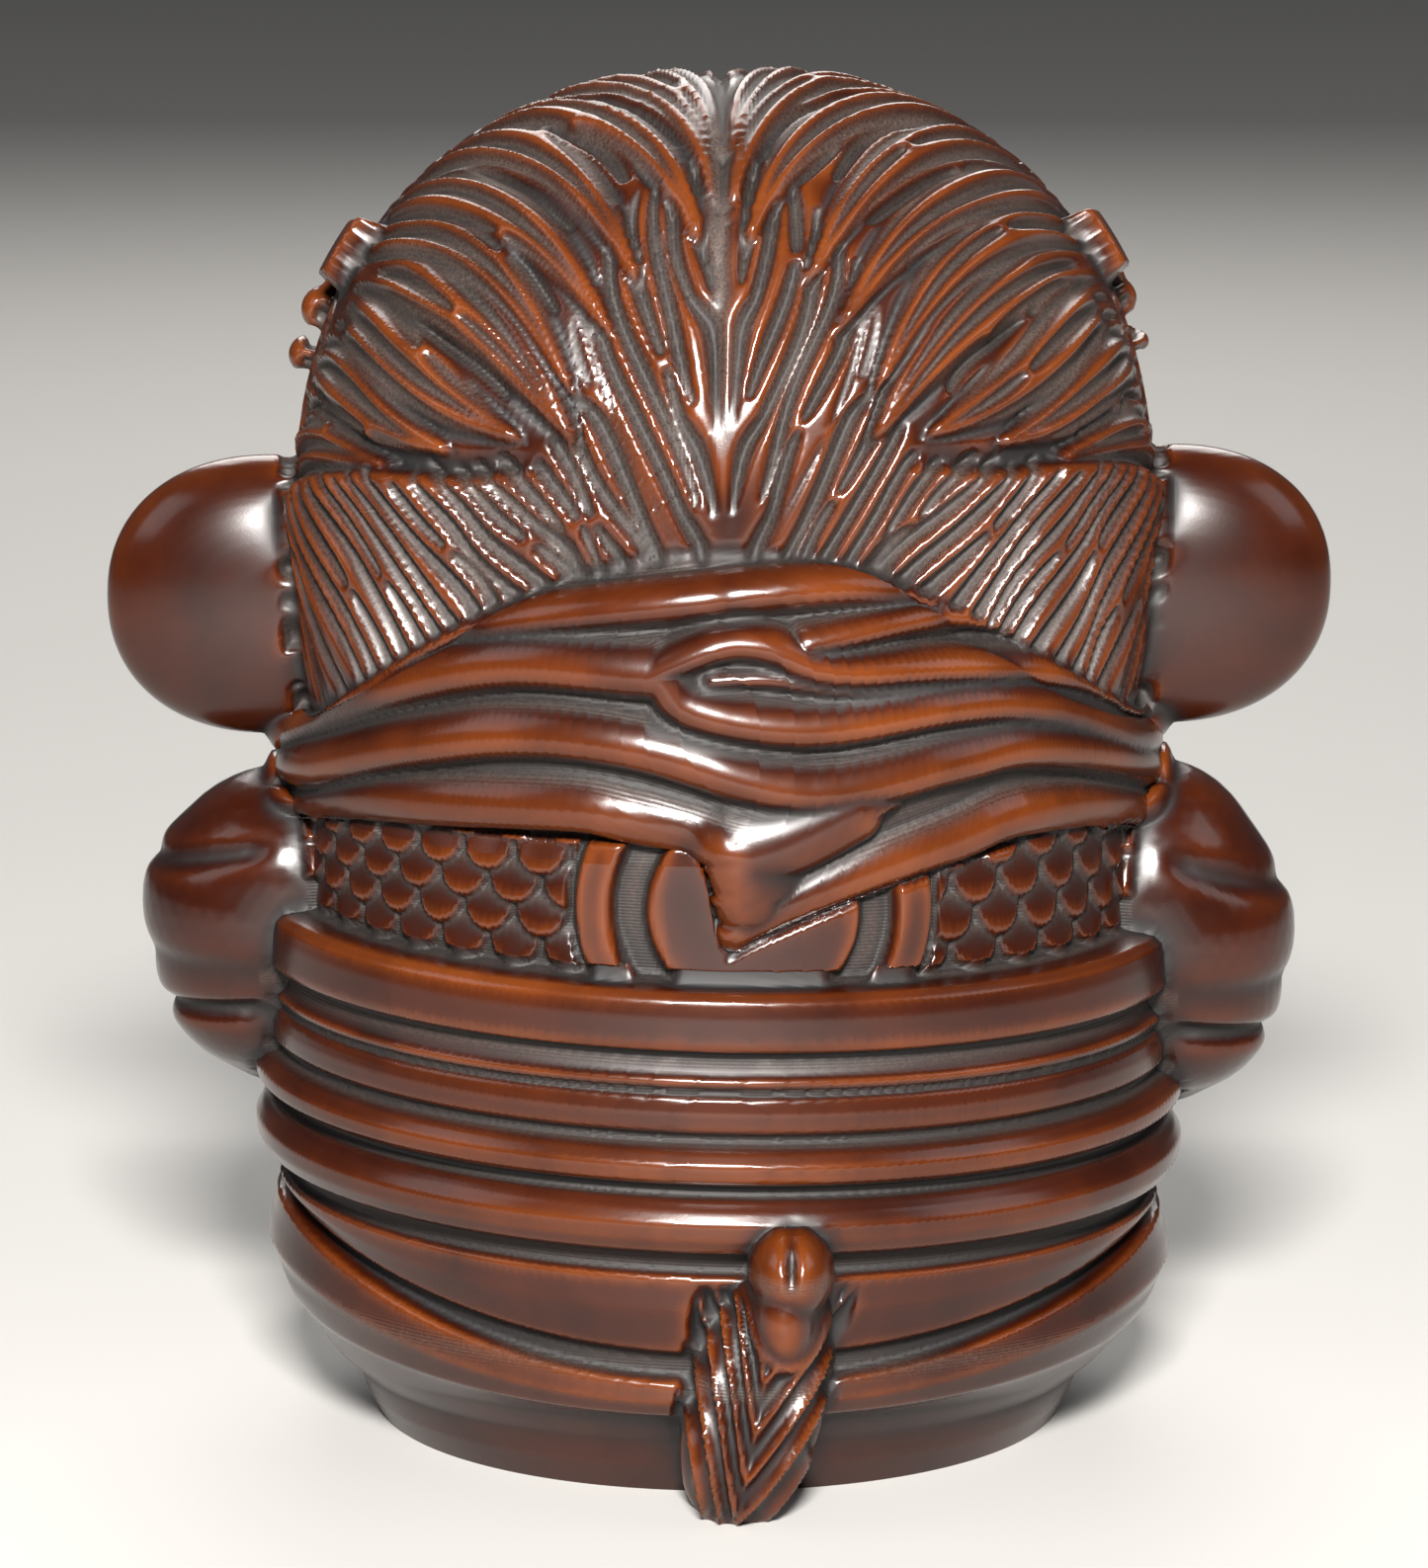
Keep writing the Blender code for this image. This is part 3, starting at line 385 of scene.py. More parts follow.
def add_head(blocks):
    """Head, ears, temple knobs and the face's main forms."""
    ball(blocks, HEAD_CENTRE, HEAD_HALF, HEAD_POWER, detail=7)
    ear_reach = WIDTH_OVER_EARS / 2 - EAR_PLACE[0]
    both_sides(blocks, EAR_PLACE, (ear_reach, EAR_HALF_DEPTH, EAR_HALF_HEIGHT), 2.2, detail=6)
    for centre, half in TEMPLE_KNOBS:
        both_sides(blocks, centre, half)
    ball(blocks, FACE_CENTRE, FACE_HALF, 2.3, detail=6)
    ball(blocks, MUZZLE_CENTRE, MUZZLE_HALF, 2.2, detail=6)
    both_sides(blocks, CHEEK_PLACE, CHEEK_HALF, detail=5)
    both_sides(blocks, EYE_PLACE, EYE_HALF, detail=5)
    both_sides(blocks, BROW_PLACE, BROW_HALF, detail=5)
    ball(blocks, NOSE_PLACE, NOSE_HALF, detail=5)
    ball(blocks, BRIDGE_PLACE, BRIDGE_HALF, detail=5)


def add_front(blocks):
    """Boots, the scarf's knot with two short ends, and the belt's plain boss."""
    both_sides(blocks, BOOT_CENTRE, BOOT_HALF, 2.1, detail=6)
    both_sides(blocks, TOE_CENTRE, TOE_HALF, 2.3, detail=6)
    ball(blocks, KNOT_CENTRE, KNOT_HALF, 2.4, detail=5)
    for side in (1, -1):
        limb(blocks, KNOT_END, side)
    ball(blocks, BOSS_CENTRE, BOSS_HALF, 2.6, detail=5)


def add_tail(blocks):
    """Bud and tuft of the tail; the tuft slants a little towards +X."""
    ball(blocks, BUD_CENTRE, BUD_HALF, detail=5)
    ball(blocks, (BUD_CENTRE[0] + 0.3, BUD_CENTRE[1], BUD_CENTRE[2] - 1.8), BUD_NECK_HALF, detail=5)
    ways, faces = unit_ball(6)
    reach = (np.abs(ways) ** TUFT_POWER).sum(axis=1) ** (-1.0 / TUFT_POWER)
    points = np.array(TUFT_CENTRE) + np.array(TUFT_HALF) * ways * reach[:, None]
    points[:, 0] -= TUFT_SLANT * (points[:, 2] - TUFT_CENTRE[2])
    blocks.append((points, faces))


def mesh_of(name, points, triangles):
    """Blender mesh of points and triangles given as rows of numbers."""
    mesh = bpy.data.meshes.new(name)
    mesh.vertices.add(len(points))
    mesh.vertices.foreach_set("co", np.ascontiguousarray(points, dtype=np.float32).ravel())
    mesh.loops.add(triangles.size)
    mesh.loops.foreach_set("vertex_index", np.ascontiguousarray(triangles, dtype=np.int32).ravel())
    mesh.polygons.add(len(triangles))
    mesh.polygons.foreach_set("loop_start", np.arange(0, triangles.size, 3, dtype=np.int32))
    mesh.update(calc_edges=True)
    return mesh


def block_out():
    """Join all blocks into one closed skin of even cells."""
    blocks = []
    add_body(blocks)
    add_scarf(blocks)
    add_head(blocks)
    add_front(blocks)
    add_tail(blocks)
    for side in (1, -1):
        limb(blocks, ARM, side)
    starts = np.cumsum([0] + [len(points) for points, faces in blocks[:-1]])
    points = np.concatenate([points for points, faces in blocks])
    triangles = np.concatenate([faces + start for (_, faces), start in zip(blocks, starts)])
    holder = bpy.data.objects.new("blocks", mesh_of("blocks", points, triangles))
    bpy.context.scene.collection.objects.link(holder)
    skin = holder.modifiers.new("skin", "REMESH")
    skin.mode = "VOXEL"
    skin.voxel_size = SKIN_CELL
    even = holder.modifiers.new("even", "SMOOTH")
    even.factor = 0.5
    even.iterations = 2
    graph = bpy.context.evaluated_depsgraph_get()
    mesh = bpy.data.meshes.new_from_object(holder.evaluated_get(graph))
    bpy.data.objects.remove(holder, do_unlink=True)
    return mesh


def head_offset(points):
    """Distance outside the head's form, near its surface."""
    way = np.abs(points - HEAD_CENTRE) / HEAD_HALF
    size = (way ** HEAD_POWER).sum(axis=1) ** (1.0 / HEAD_POWER)
    reach = np.linalg.norm(points - HEAD_CENTRE, axis=1)
    return reach * (1.0 - 1.0 / np.maximum(size, 1e-6))


def head_place(off_plane, from_top):
    """Point of the head's surface at two angles in degrees, as in LOCKS."""
    side = np.radians(off_plane)
    tilt = np.radians(from_top)
    way = np.stack([np.sin(side), np.cos(side) * np.sin(tilt), np.cos(side) * np.cos(tilt)], axis=-1)
    size = ((np.abs(way) / HEAD_HALF) ** HEAD_POWER).sum(axis=-1) ** (1.0 / HEAD_POWER)
    return np.array(HEAD_CENTRE) + way / size[..., None]


def smooth_route(stops, count):
    """Points on the cubic through four stops."""
    share = np.linspace(0.0, 1.0, count)
    knots = np.linspace(0.0, 1.0, len(stops))
    route = np.zeros((count, 2))
    for index, stop in enumerate(stops):
        weight = np.ones(count)
        for other in range(len(stops)):
            if other != index:
                weight *= (share - knots[other]) / (knots[index] - knots[other])
        route += weight[:, None] * np.array(stop, dtype=float)
    return route


def beside_line(points, line, outward):
    """Share of the way along a line and signed distance beside it, for each point."""
    along = np.gradient(line, axis=0)
    length = np.linalg.norm(along, axis=1)
    along = along / length[:, None]
    beside = np.cross(along, outward)
    beside = beside / np.linalg.norm(beside, axis=1)[:, None]
    near = np.zeros(len(points), dtype=int)
    best = np.full(len(points), 1e9)
    for index, place in enumerate(line):
        gap = ((points - place) ** 2).sum(axis=1)
        closer = gap < best
        best[closer] = gap[closer]
        near[closer] = index
    last = len(line) - 1
    place = near + ((points - line[near]) * along[near]).sum(axis=1) / length[near]
    held = np.clip(place, 0.0, last)
    first = np.minimum(held.astype(int), last - 1)
    share = (held - first)[:, None]
    middle = line[first] + share * (line[first + 1] - line[first])
    side = beside[first] + share * (beside[first + 1] - beside[first])
    return place / last, ((points - middle) * side).sum(axis=1)


def part_of(number):
    """Fraction of a number, for small regular variations."""
    return number - math.floor(number)


def strand_strokes(share, across, count, seed):
    """Depth, 0 to 1, of round-bottomed gouge strokes that start and stop at different places."""
    depth = np.zeros(len(share))
    for index in range(count):
        vary = part_of(0.618 * (index + 1) + 0.371 * seed)
        other = part_of(0.414 * (index + 2) + 0.733 * seed)
        middle = -1.0 + (2.0 * index + 1.0) / count
        sway = (0.16 / count) * np.sin(2.0 * math.pi * (share * (0.8 + 0.5 * vary) + other))
        begin, end = 0.02 + 0.12 * vary, 1.0 - 0.08 * other
        runs = [(begin, end)]
        if (index + seed) % 4 == 1:
            stop = 0.42 + 0.25 * vary
            runs = [(begin, stop), (stop + 0.02, end)]
        for first, last in runs:
            run = np.clip((share - first) / (last - first), 0.0, 1.0)
            leaf = np.clip(4.0 * run * (1.0 - run), 0.0, 1.0) ** 0.36
            wide = (0.98 / count) * leaf + 0.004
            gap = np.clip(np.abs(across - middle - sway) / wide, 0.0, 1.0)
            depth = np.maximum(depth, np.cos(0.5 * math.pi * gap) ** 1.6 * leaf ** 0.5)
    return depth


def follow_lines(points, strokes, tier, side, seed):
    """Cut strands that follow the lines of one tier, evenly spaced between each two lines."""
    counts, stop, lines = tier
    for index, count in enumerate(counts):
        edges = [smooth_route(lines[index + step], 60) for step in (0, 1)]
        places = [head_place(side * edge[:, 0], edge[:, 1]) for edge in edges]
        along = np.gradient(places[0] + places[1], axis=0)
        along = along / np.linalg.norm(along, axis=1)[:, None]
        gap = places[1] - places[0]
        gap = gap - (gap * along).sum(axis=1)[:, None] * along
        spacing = np.linalg.norm(gap, axis=1) / count
        for strand in range(count):
            number = 5 * index + strand + seed
            vary = part_of(0.618 * (number + 1))
            other = part_of(0.414 * (number + 2))
            mix = (strand + 0.5) / count
            route = edges[0] + mix * (edges[1] - edges[0])
            way = np.linspace(0.0, 1.0, len(route))
            wave = np.sin(2.0 * math.pi * (1.25 * way + 0.11 * number)) + 0.4 * np.sin(12.0 * way + number)
            route[:, 0] += 1.5 * wave * way * np.clip(spacing, 0.0, 1.0)
            tight = way[(way > 0.25) & (spacing < 0.7)]
            clear = spacing.copy()
            begin, end = 0.01 + 0.10 * vary, stop * (1.0 - 0.10 * other)
            if len(tight) and strand % 2:
                end = min(end, tight[0] + 0.05 * vary)
            elif len(tight) and strand + 1 < count:
                joined = ease(tight[0] - 0.05, tight[0] + 0.12, way)
                clear = spacing * (1.0 + joined)
                route += (0.5 / count) * joined[:, None] * (edges[1] - edges[0])
            line = head_place(side * route[:, 0], route[:, 1])
            middle = (line.min(axis=0) + line.max(axis=0)) / 2.0
            reach = np.linalg.norm(line - middle, axis=1).max() + 1.0
            close = np.linalg.norm(points - middle, axis=1) < reach
            share, beside = beside_line(points[close], line, line - HEAD_CENTRE)
            runs = [(begin, end)]
            if number % 3 == 1 and end > 0.7:
                split = end * (0.40 + 0.25 * other)
                runs = [(begin, split), (split + 0.03, end)]
            room = np.interp(share, way, clear)
            found = np.zeros(len(share))
            for first, last in runs:
                run = np.clip((share - first) / (last - first), 0.0, 1.0)
                leaf = np.clip(4.0 * run * (1.0 - run), 0.0, 1.0) ** 0.3
                wide = 0.48 * np.clip(room, 0.5, 1.4) * leaf + 0.004
                cut = np.cos(0.5 * math.pi * np.clip(np.abs(beside) / wide, 0.0, 1.0)) ** 1.6
                found = np.maximum(found, cut * leaf ** 0.5 * ease(0.25, 0.9, room))
            strokes[close] = np.maximum(strokes[close], found)


def lay_lock(points, height, floors, lock, side, seed):
    """Lay one lock of hair over the height found so far."""
    stops, width, lift = lock[:4], lock[4], lock[5]
    angles = smooth_route(stops, 70)
    line = head_place(side * angles[:, 0], angles[:, 1])
    outward = line - HEAD_CENTRE
    reach = np.linalg.norm(line[-1] - line[0]) / 2 + width
    close = np.linalg.norm(points - line.mean(axis=0), axis=1) < reach
    share, beside = beside_line(points[close], line, outward)
    inside = np.clip(share, 0.0, 1.0)
    half = width / 2 * (0.7 + 0.3 * ease(0.0, 0.4, inside)) * (1.0 - inside ** 2.6) ** 0.85 + 0.01
    across = np.clip(beside / half, -1.6, 1.6)
    count = max(2, round(width / STRAND_PITCH))
    cover = ease(1.0, 0.7, np.abs(across)) * ease(0.0, 0.2, share) * ease(1.0, 0.95, share)
    narrow = np.clip(half / (width / 2), 0.0, 1.0)
    strokes = strand_strokes(share, side * across, count, seed) * narrow
    body = lift * (1.0 - 0.3 * across ** 2) * ease(0.0, 0.45, share) - STRAND_DEPTH * strokes
    rim = 0.3 * lift * ease(1.5, 1.0, np.abs(across)) * ease(0.1, 0.4, share) * (share < 1.02)
    below = height[close] - rim * (1.0 - cover)
    height[close] = below + (body - below) * cover
    floors[close] = floors[close] + (strokes - floors[close]) * cover


def carve_hair(points):
    """Height of the hair over the head's form, and how far each point lies in a stroke."""
    way = points - HEAD_CENTRE
    off_plane = np.degrees(np.arcsin(np.clip(way[:, 0] / np.linalg.norm(way, axis=1), -1, 1)))
    from_top = np.degrees(np.arctan2(way[:, 1], way[:, 2]))
    count = round(math.pi * HEAD_HALF[0] / STRAND_PITCH)
    before = np.interp(np.abs(off_plane), (0, 27, 50, 58, 80), (-22, -20, -6, 16, 26))
    forward = ease(6.0, -2.0, from_top - before) + (from_top > 150.0)
    floors = forward * strand_strokes(from_top / 45.0 % 1.0, off_plane / 90.0, count, 2)
    for index, tier in enumerate(STRAND_LINES):
        for side in (1, -1):
            follow_lines(points, floors, tier, side, 40 * index + (side > 0) * 7)
    height = 0.15 - STRAND_DEPTH * floors
    shelf = head_place(*through_stops(SHELF, 10).T)
    for side in (1, -1):
        edge = shelf * (side, 1, 1) + (HEAD_CENTRE[0] * (1 - side), 0, 0)
        share, beside = beside_line(points, edge, edge - HEAD_CENTRE)
        near = ease(-0.02, 0.1, share) * ease(1.12, 0.85, share)
        over = side * beside
        height += near * SHELF_DEPTH * ease(-0.1, 0.25, over) * np.exp(-np.clip(over, 0.0, None) / 3.5)
        height -= near * 0.3 * bell(-0.35, 0.45, over)
    for index, lock in enumerate(LOCKS):
        for side in (1, -1):
            lay_lock(points, height, floors, lock, side, 2 * index + (side > 0))
    behind = ease(-4.0, 2.0, points[:, 1])
    parting = bell(0.0, 0.4, points[:, 0]) * ease(41.0, 47.0, points[:, 2]) * behind
    return height - 0.25 * parting, np.maximum(floors, parting)


def carve_band(points, height):
    """Brow band with squared ends, over the hair of the forehead."""
    level = BAND_LEVEL + BAND_SLOPE * (points[:, 1] - 2.0)
    off = np.abs(points[:, 2] - level)
    strap = ease(BAND_HALF_WIDTH + 0.2, BAND_HALF_WIDTH - 0.2, off) * (points[:, 1] < BAND_END)
    stop = ease(1.3, 1.0, off) * ease(0.2, 0.6, points[:, 1]) * (points[:, 1] < BAND_END)
    stop = stop * ease(9.0, 12.0, np.abs(points[:, 0]))
    lifted = height + (BAND_LIFT - height) * strap
    return lifted + (1.2 - lifted) * stop, np.maximum(strap, stop)


def near_face(points):
    """How far a point belongs to the bare face rather than the hair."""
    wide = points[:, 0] / 11.5
    tall = (points[:, 2] - 35.0) / 9.2
    return ease(1.15, 0.95, np.sqrt(wide ** 2 + tall ** 2)) * (points[:, 1] < -6.0)


def through_stops(stops, parts):
    """Points on a smooth curve through all stops."""
    stops = np.array(stops, dtype=float)
    padded = np.concatenate([[2 * stops[0] - stops[1]], stops, [2 * stops[-1] - stops[-2]]])
    share = (np.arange(parts) / parts)[:, None]
    curve = []
    for a, b, c, d in zip(padded, padded[1:], padded[2:], padded[3:]):
        curve.append(0.5 * (2 * b + (c - a) * share + (2 * a - 5 * b + 4 * c - d) * share ** 2
                            + (3 * b - a - 3 * c + d) * share ** 3))
    return np.concatenate(curve + [stops[-1:]])


def fold_height(turn, level):
    """Rolls of the scarf, steeper below than above, and the gap to the nearest roll's line."""
    reach = SCARF_RADIUS + SCARF_HALF_DEPTH
    arc = np.radians(turn) * reach
    height = np.zeros(len(turn))
    comb = np.full(len(turn), 99.0)
    for half, rise, route in SCARF_FOLDS:
        stops = through_stops(route, 5)
        stops[:, 0] = np.radians(stops[:, 0]) * reach
        gap = np.full(len(turn), 99.0)
        above = np.zeros(len(turn), dtype=bool)
        for first, last in zip(stops, stops[1:]):
            span = last - first
            share = ((arc - first[0]) * span[0] + (level - first[1]) * span[1]) / (span ** 2).sum()
            share = np.clip(share, 0.0, 1.0)
            rise_here = level - first[1] - share * span[1]
            side = np.hypot(arc - first[0] - share * span[0], rise_here)
            above = np.where(side < gap, rise_here > 0.0, above)
            gap = np.minimum(gap, side)
        upper_side = 1.0 - (gap / (1.35 * half)) ** 1.8
        lower_side = 1.0 - (gap / (0.85 * half)) ** 2.6
        height = np.maximum(height, rise * np.clip(np.where(above, upper_side, lower_side), 0.0, 1.0))
        comb = np.minimum(comb, gap)
    return height, comb


def scarf_closeness(points, turn):
    """1 on the scarf's outer side, 0 away from it."""
    upper, lower = scarf_edges(turn)
    radius = np.hypot(points[:, 0], points[:, 1] / SCARF_DEPTH_RATIO)
    level = np.abs(points[:, 2] - (upper + lower) / 2) / ((upper - lower) / 2)
    depth = np.clip(1.0 - np.clip(level, 0, 1) ** SCARF_POWER, 0, 1) ** (1 / SCARF_POWER)
    off = np.abs(radius - SCARF_RADIUS - SCARF_HALF_DEPTH * depth)
    return ease(1.3, 0.7, off) * ease(1.04, 0.94, level)


def scale_height(arc, level):
    """Rows of overlapping scales with round lower edges."""
    height = np.zeros(len(arc))
    rows = math.ceil(SCALES_TALL / SCALE_PITCH)
    for row in range(rows):
        top = BELT_TOP + (row + 1) * SCALE_PITCH + 0.75
        shift = 0.5 * SCALE_WIDTH * (row % 2)
        across = (arc + shift) / SCALE_WIDTH
        across = 2.0 * (across - np.floor(across)) - 1.0
        drop = top - level
        round_edge = np.sqrt(np.clip(1.0 - (across / 0.94) ** 2, 0.0, 1.0))
        edge = drop - 0.5 - 1.2 * round_edge
        cover = ease(0.1, -0.1, edge) * ease(-0.2, 0.1, drop) * ease(0.97, 0.9, np.abs(across))
        lift = SCALE_LIFT * (0.3 + 0.7 * np.clip(drop / 1.7, 0.0, 1.0)) * (1.0 - 0.25 * across ** 2)
        height = height + (lift - height) * cover
    return height


def carve_armour(points, turn):
    """Disc, ring and scales between the belt and the scarf."""
    arc = np.radians(turn) * CHEST_RADIUS
    level = points[:, 2]
    height = scale_height(arc, level)
    back = np.abs(turn) < 90
    out = np.hypot(points[:, 0] - DISC_CENTRE[0], level - DISC_CENTRE[1])
    plate = PLATE_LIFT * ease(DISC_RADIUS + 0.15, DISC_RADIUS - 0.15, out)
    ring = ease(RING_INNER - 0.15, RING_INNER + 0.2, out) * ease(RING_OUTER + 0.15, RING_OUTER - 0.2, out)
    middle = plate + RING_LIFT * ring
    return np.where((out < RING_OUTER + 0.3) & back, middle, height)


def armour_closeness(points, turn):
    """1 on the chest between belt and scarf, 0 elsewhere."""
    lower = scarf_edges(turn)[1]
    radius = np.hypot(points[:, 0], points[:, 1] / BODY_DEPTH_RATIO)
    off = np.abs(radius - CHEST_RADIUS)
    level = points[:, 2]
    between = ease(BELT_TOP - 0.1, BELT_TOP + 0.2, level) * ease(lower + 0.3, lower - 0.2, level)
    return ease(0.8, 0.4, off) * between


def ridged(across, count):
    """Round-bottomed grooves between narrow ridges; across runs from -1 to 1."""
    phase = (across + 1.0) / 2.0 * count
    middle = np.abs(2.0 * (phase - np.floor(phase)) - 1.0)
    return 1.0 - middle ** 2.4


def carve_tail(points):
    """Slot in the bud, and strands of the tuft that run down and meet on its middle line."""
    z = points[:, 2]
    x = points[:, 0] - TUFT_CENTRE[0] + TUFT_SLANT * (z - TUFT_CENTRE[2])
    behind = ease(15.5, 16.5, points[:, 1])
    slot = bell(BUD_CENTRE[0], 0.24, points[:, 0]) * bell(BUD_CENTRE[2] + 0.7, 0.8, z)
    tuft = ease(3.3, 3.0, np.abs(x)) * ease(-0.4, 0.2, z) * ease(9.6, 8.8, z)
    slope = np.where(x > 0.0, 3.0, 1.7)
    phase = (z - slope * np.abs(x)) / TUFT_STRAND
    strand = 1.0 - np.abs(2.0 * (phase - np.floor(phase)) - 1.0) ** 2.2
    around_bud = np.hypot((points[:, 0] - BUD_CENTRE[0]) / 1.9, (z - BUD_CENTRE[2] + 0.6) / 3.0)
    clear = ease(0.95, 1.1, around_bud)
    return behind * (-0.4 * slot - 0.5 * tuft * strand * clear)


def carve_arms(points):
    """Creases of the sleeve, and fingers on the fists."""
    x = np.abs(points[:, 0])
    y = points[:, 1]
    z = points[:, 2]
    outside = ease(17.6, 19.2, x) * ease(-9.0, -5.0, y)
    upper = 0.3 * bell(0.0, 0.5, z - 23.5 + 0.25 * (x - 20.0))
    middle = 0.16 * bell(0.0, 0.6, z - 18.6)
    lower = 0.5 * bell(0.0, 0.45, z - 16.7 + 0.12 * (x - 20.0))
    edge = 0.3 * bell(-3.6, 0.35, y) * ease(14.5, 15.5, z) * ease(22.4, 21.4, z) * ease(20.0, 21.0, x)
    hand = ease(3.2, 3.8, x) * ease(9.6, 9.0, x) * ease(-16.5, -18.0, y)
    hand = hand * ease(18.5, 18.0, z) * ease(11.5, 12.0, z)
    fingers = ridged((z - 12.2) / 3.0 - 1.0, 4)
    cuff = bell(10.6, 0.35, x) * (y < -11.0) * ease(20.0, 19.0, z) * ease(11.0, 12.0, z)
    return -outside * (upper + middle + lower) - edge + hand * (0.25 - 0.5 * fingers) - 0.4 * cuff


def carve_face(points):
    """Mouth, nostrils, eyelids and the edge of the face."""
    x = np.abs(points[:, 0])
    y = points[:, 1]
    z = points[:, 2]
    front = ease(-9.0, -11.0, y)
    mouth = bell(0.0, 0.35, z - 29.7 - 0.06 * x ** 2) * ease(5.6, 4.6, x)
    lip = bell(0.0, 0.35, x) * ease(29.5, 30.0, z) * ease(33.4, 33.0, z)
    nostril = np.exp(-((x - 0.95) ** 2 + (z - 34.1) ** 2) / 0.2)
    eye = np.hypot((x - EYE_PLACE[0]) / 1.25, z - EYE_PLACE[2])
    lids = bell(1.75, 0.3, eye)
    gaze = bell(EYE_PLACE[2] + 0.15, 0.22, z) * ease(2.2, 1.8, np.abs(x - EYE_PLACE[0]))
    wide = x / 11.0
    tall = (z - 35.0 + 1.2 * bell(0.0, 3.0, x)) / 8.6
    border = bell(1.0, 0.05, np.hypot(wide, tall))
    return -front * (0.6 * mouth + 0.35 * lip + 0.6 * nostril + 0.45 * lids + 0.35 * gaze + 0.5 * border)


def carve_ears(points):
    """Hollow in the front of each ear."""
    x = np.abs(points[:, 0])
    z = points[:, 2] - EAR_PLACE[2]
    bowl = ease(1.0, 0.55, np.hypot((x - 20.6) / 3.4, z / 4.2)) * ease(-0.2, -1.2, points[:, 1])
    return -1.5 * bowl


def on_profile(points):
    """Bring points near the body's turned profile exactly onto it."""
    length = np.hypot(points[:, 0], points[:, 1] / BODY_DEPTH_RATIO)
    sideways = np.abs(points[:, 0] / np.maximum(length, 1e-6)) ** SIDE_POWER
    best = np.full(len(points), 9.0)
    radius = length.copy()
    level = points[:, 2].copy()
    stops = []
    for behind, beside in [(row, row) for row in NECK[3:] + BELTS] + list(SKIRT):
        stops.append([BODY_RADIUS - behind[0] - (beside[0] - behind[0]) * sideways,
                      behind[1] + (beside[1] - behind[1]) * sideways])
    for first, last in zip(stops, stops[1:]):
        span = [last[0] - first[0], last[1] - first[1]]
        share = (length - first[0]) * span[0] + (points[:, 2] - first[1]) * span[1]
        share = np.clip(share / (span[0] ** 2 + span[1] ** 2), 0.0, 1.0)
        place = [first[0] + share * span[0], first[1] + share * span[1]]
        gap = np.hypot(length - place[0], points[:, 2] - place[1])
        closer = gap < best
        best[closer] = gap[closer]
        radius[closer] = place[0][closer]
        level[closer] = place[1][closer]
    share = ease(0.32, 0.22, best)
    moved = points.copy()
    scale = 1.0 + share * (radius / np.maximum(length, 1e-6) - 1.0)
    moved[:, :2] *= scale[:, None]
    moved[:, 2] += share * (level - points[:, 2])
    return moved


def carve(points, normals):
    """Move the skin's points along their normals; also tell how each point is tooled."""
    points = on_profile(points)
    turn = np.degrees(np.arctan2(points[:, 0], points[:, 1] / BODY_DEPTH_RATIO))
    off_head = head_offset(points)
    on_head = ease(0.9, 0.5, np.abs(off_head))
    on_scarf = scarf_closeness(points, turn)
    on_head = on_head * (1.0 - on_scarf) * (1.0 - near_face(points))
    on_head = on_head * ease(-0.3, 0.5, points[:, 2] - scarf_edges(turn)[1] - 1.5)
    depth = np.zeros(len(points))
    strokes = np.zeros(len(points))
    haired = on_head > 0.0
    hair, floors = carve_hair(points[haired])
    hair, band = carve_band(points[haired], hair)
    depth[haired] = on_head[haired] * (hair - 0.5 * np.clip(off_head[haired], -0.3, 0.3))
    strokes[haired] = on_head[haired] * floors * (1.0 - band)
    comb = points[:, 2].copy()
    furrow = np.zeros(len(points))
    clothed = on_scarf > 0.0
    fold, comb[clothed] = fold_height(turn[clothed], points[clothed, 2])
    depth[clothed] += on_scarf[clothed] * (fold - 0.4)
    furrow[clothed] = on_scarf[clothed] * ease(0.75, 0.25, fold)
    on_body = np.abs(points[:, 0]) < 18.6
    for level, half in FURROWS:
        furrow = np.maximum(furrow, bell(level, half, points[:, 2]) * on_body)
    armour = armour_closeness(points, turn)
    plated = armour > 0.0
    plates = carve_armour(points[plated], turn[plated])
    depth[plated] += armour[plated] * plates
    furrow[plated] = np.maximum(furrow[plated], armour[plated] * ease(0.3, 0.05, plates))
    depth += carve_tail(points) + carve_arms(points) + carve_face(points) + carve_ears(points)
    carved = points + normals * depth[:, None]
    level = carved[:, 2]
    lean = BELT_LEAN * ease(1.0, 8.0, level)
    lean = lean + (HEAD_LEAN - lean) * ease(BELT_TOP + 1.0, BELT_TOP + 7.0, level)
    carved[:, 2] = level + lean * carved[:, 0]
    return carved, {"stroke": strokes, "furrow": furrow, "comb": comb, "hair": on_head}


def read_points(mesh, field):
    """Places or normals of a mesh's points as rows of numbers."""
    values = np.empty(len(mesh.vertices) * 3, dtype=np.float32)
    getattr(mesh, field).foreach_get("co" if field == "vertices" else "vector", values)
    return values.reshape(-1, 3).astype(np.float64)


def read_triangles(mesh):
    """Corners of a mesh's triangles."""
    mesh.calc_loop_triangles()
    corners = np.empty(len(mesh.loop_triangles) * 3, dtype=np.int32)
    mesh.loop_triangles.foreach_get("vertices", corners)
    return corners.reshape(-1, 3)


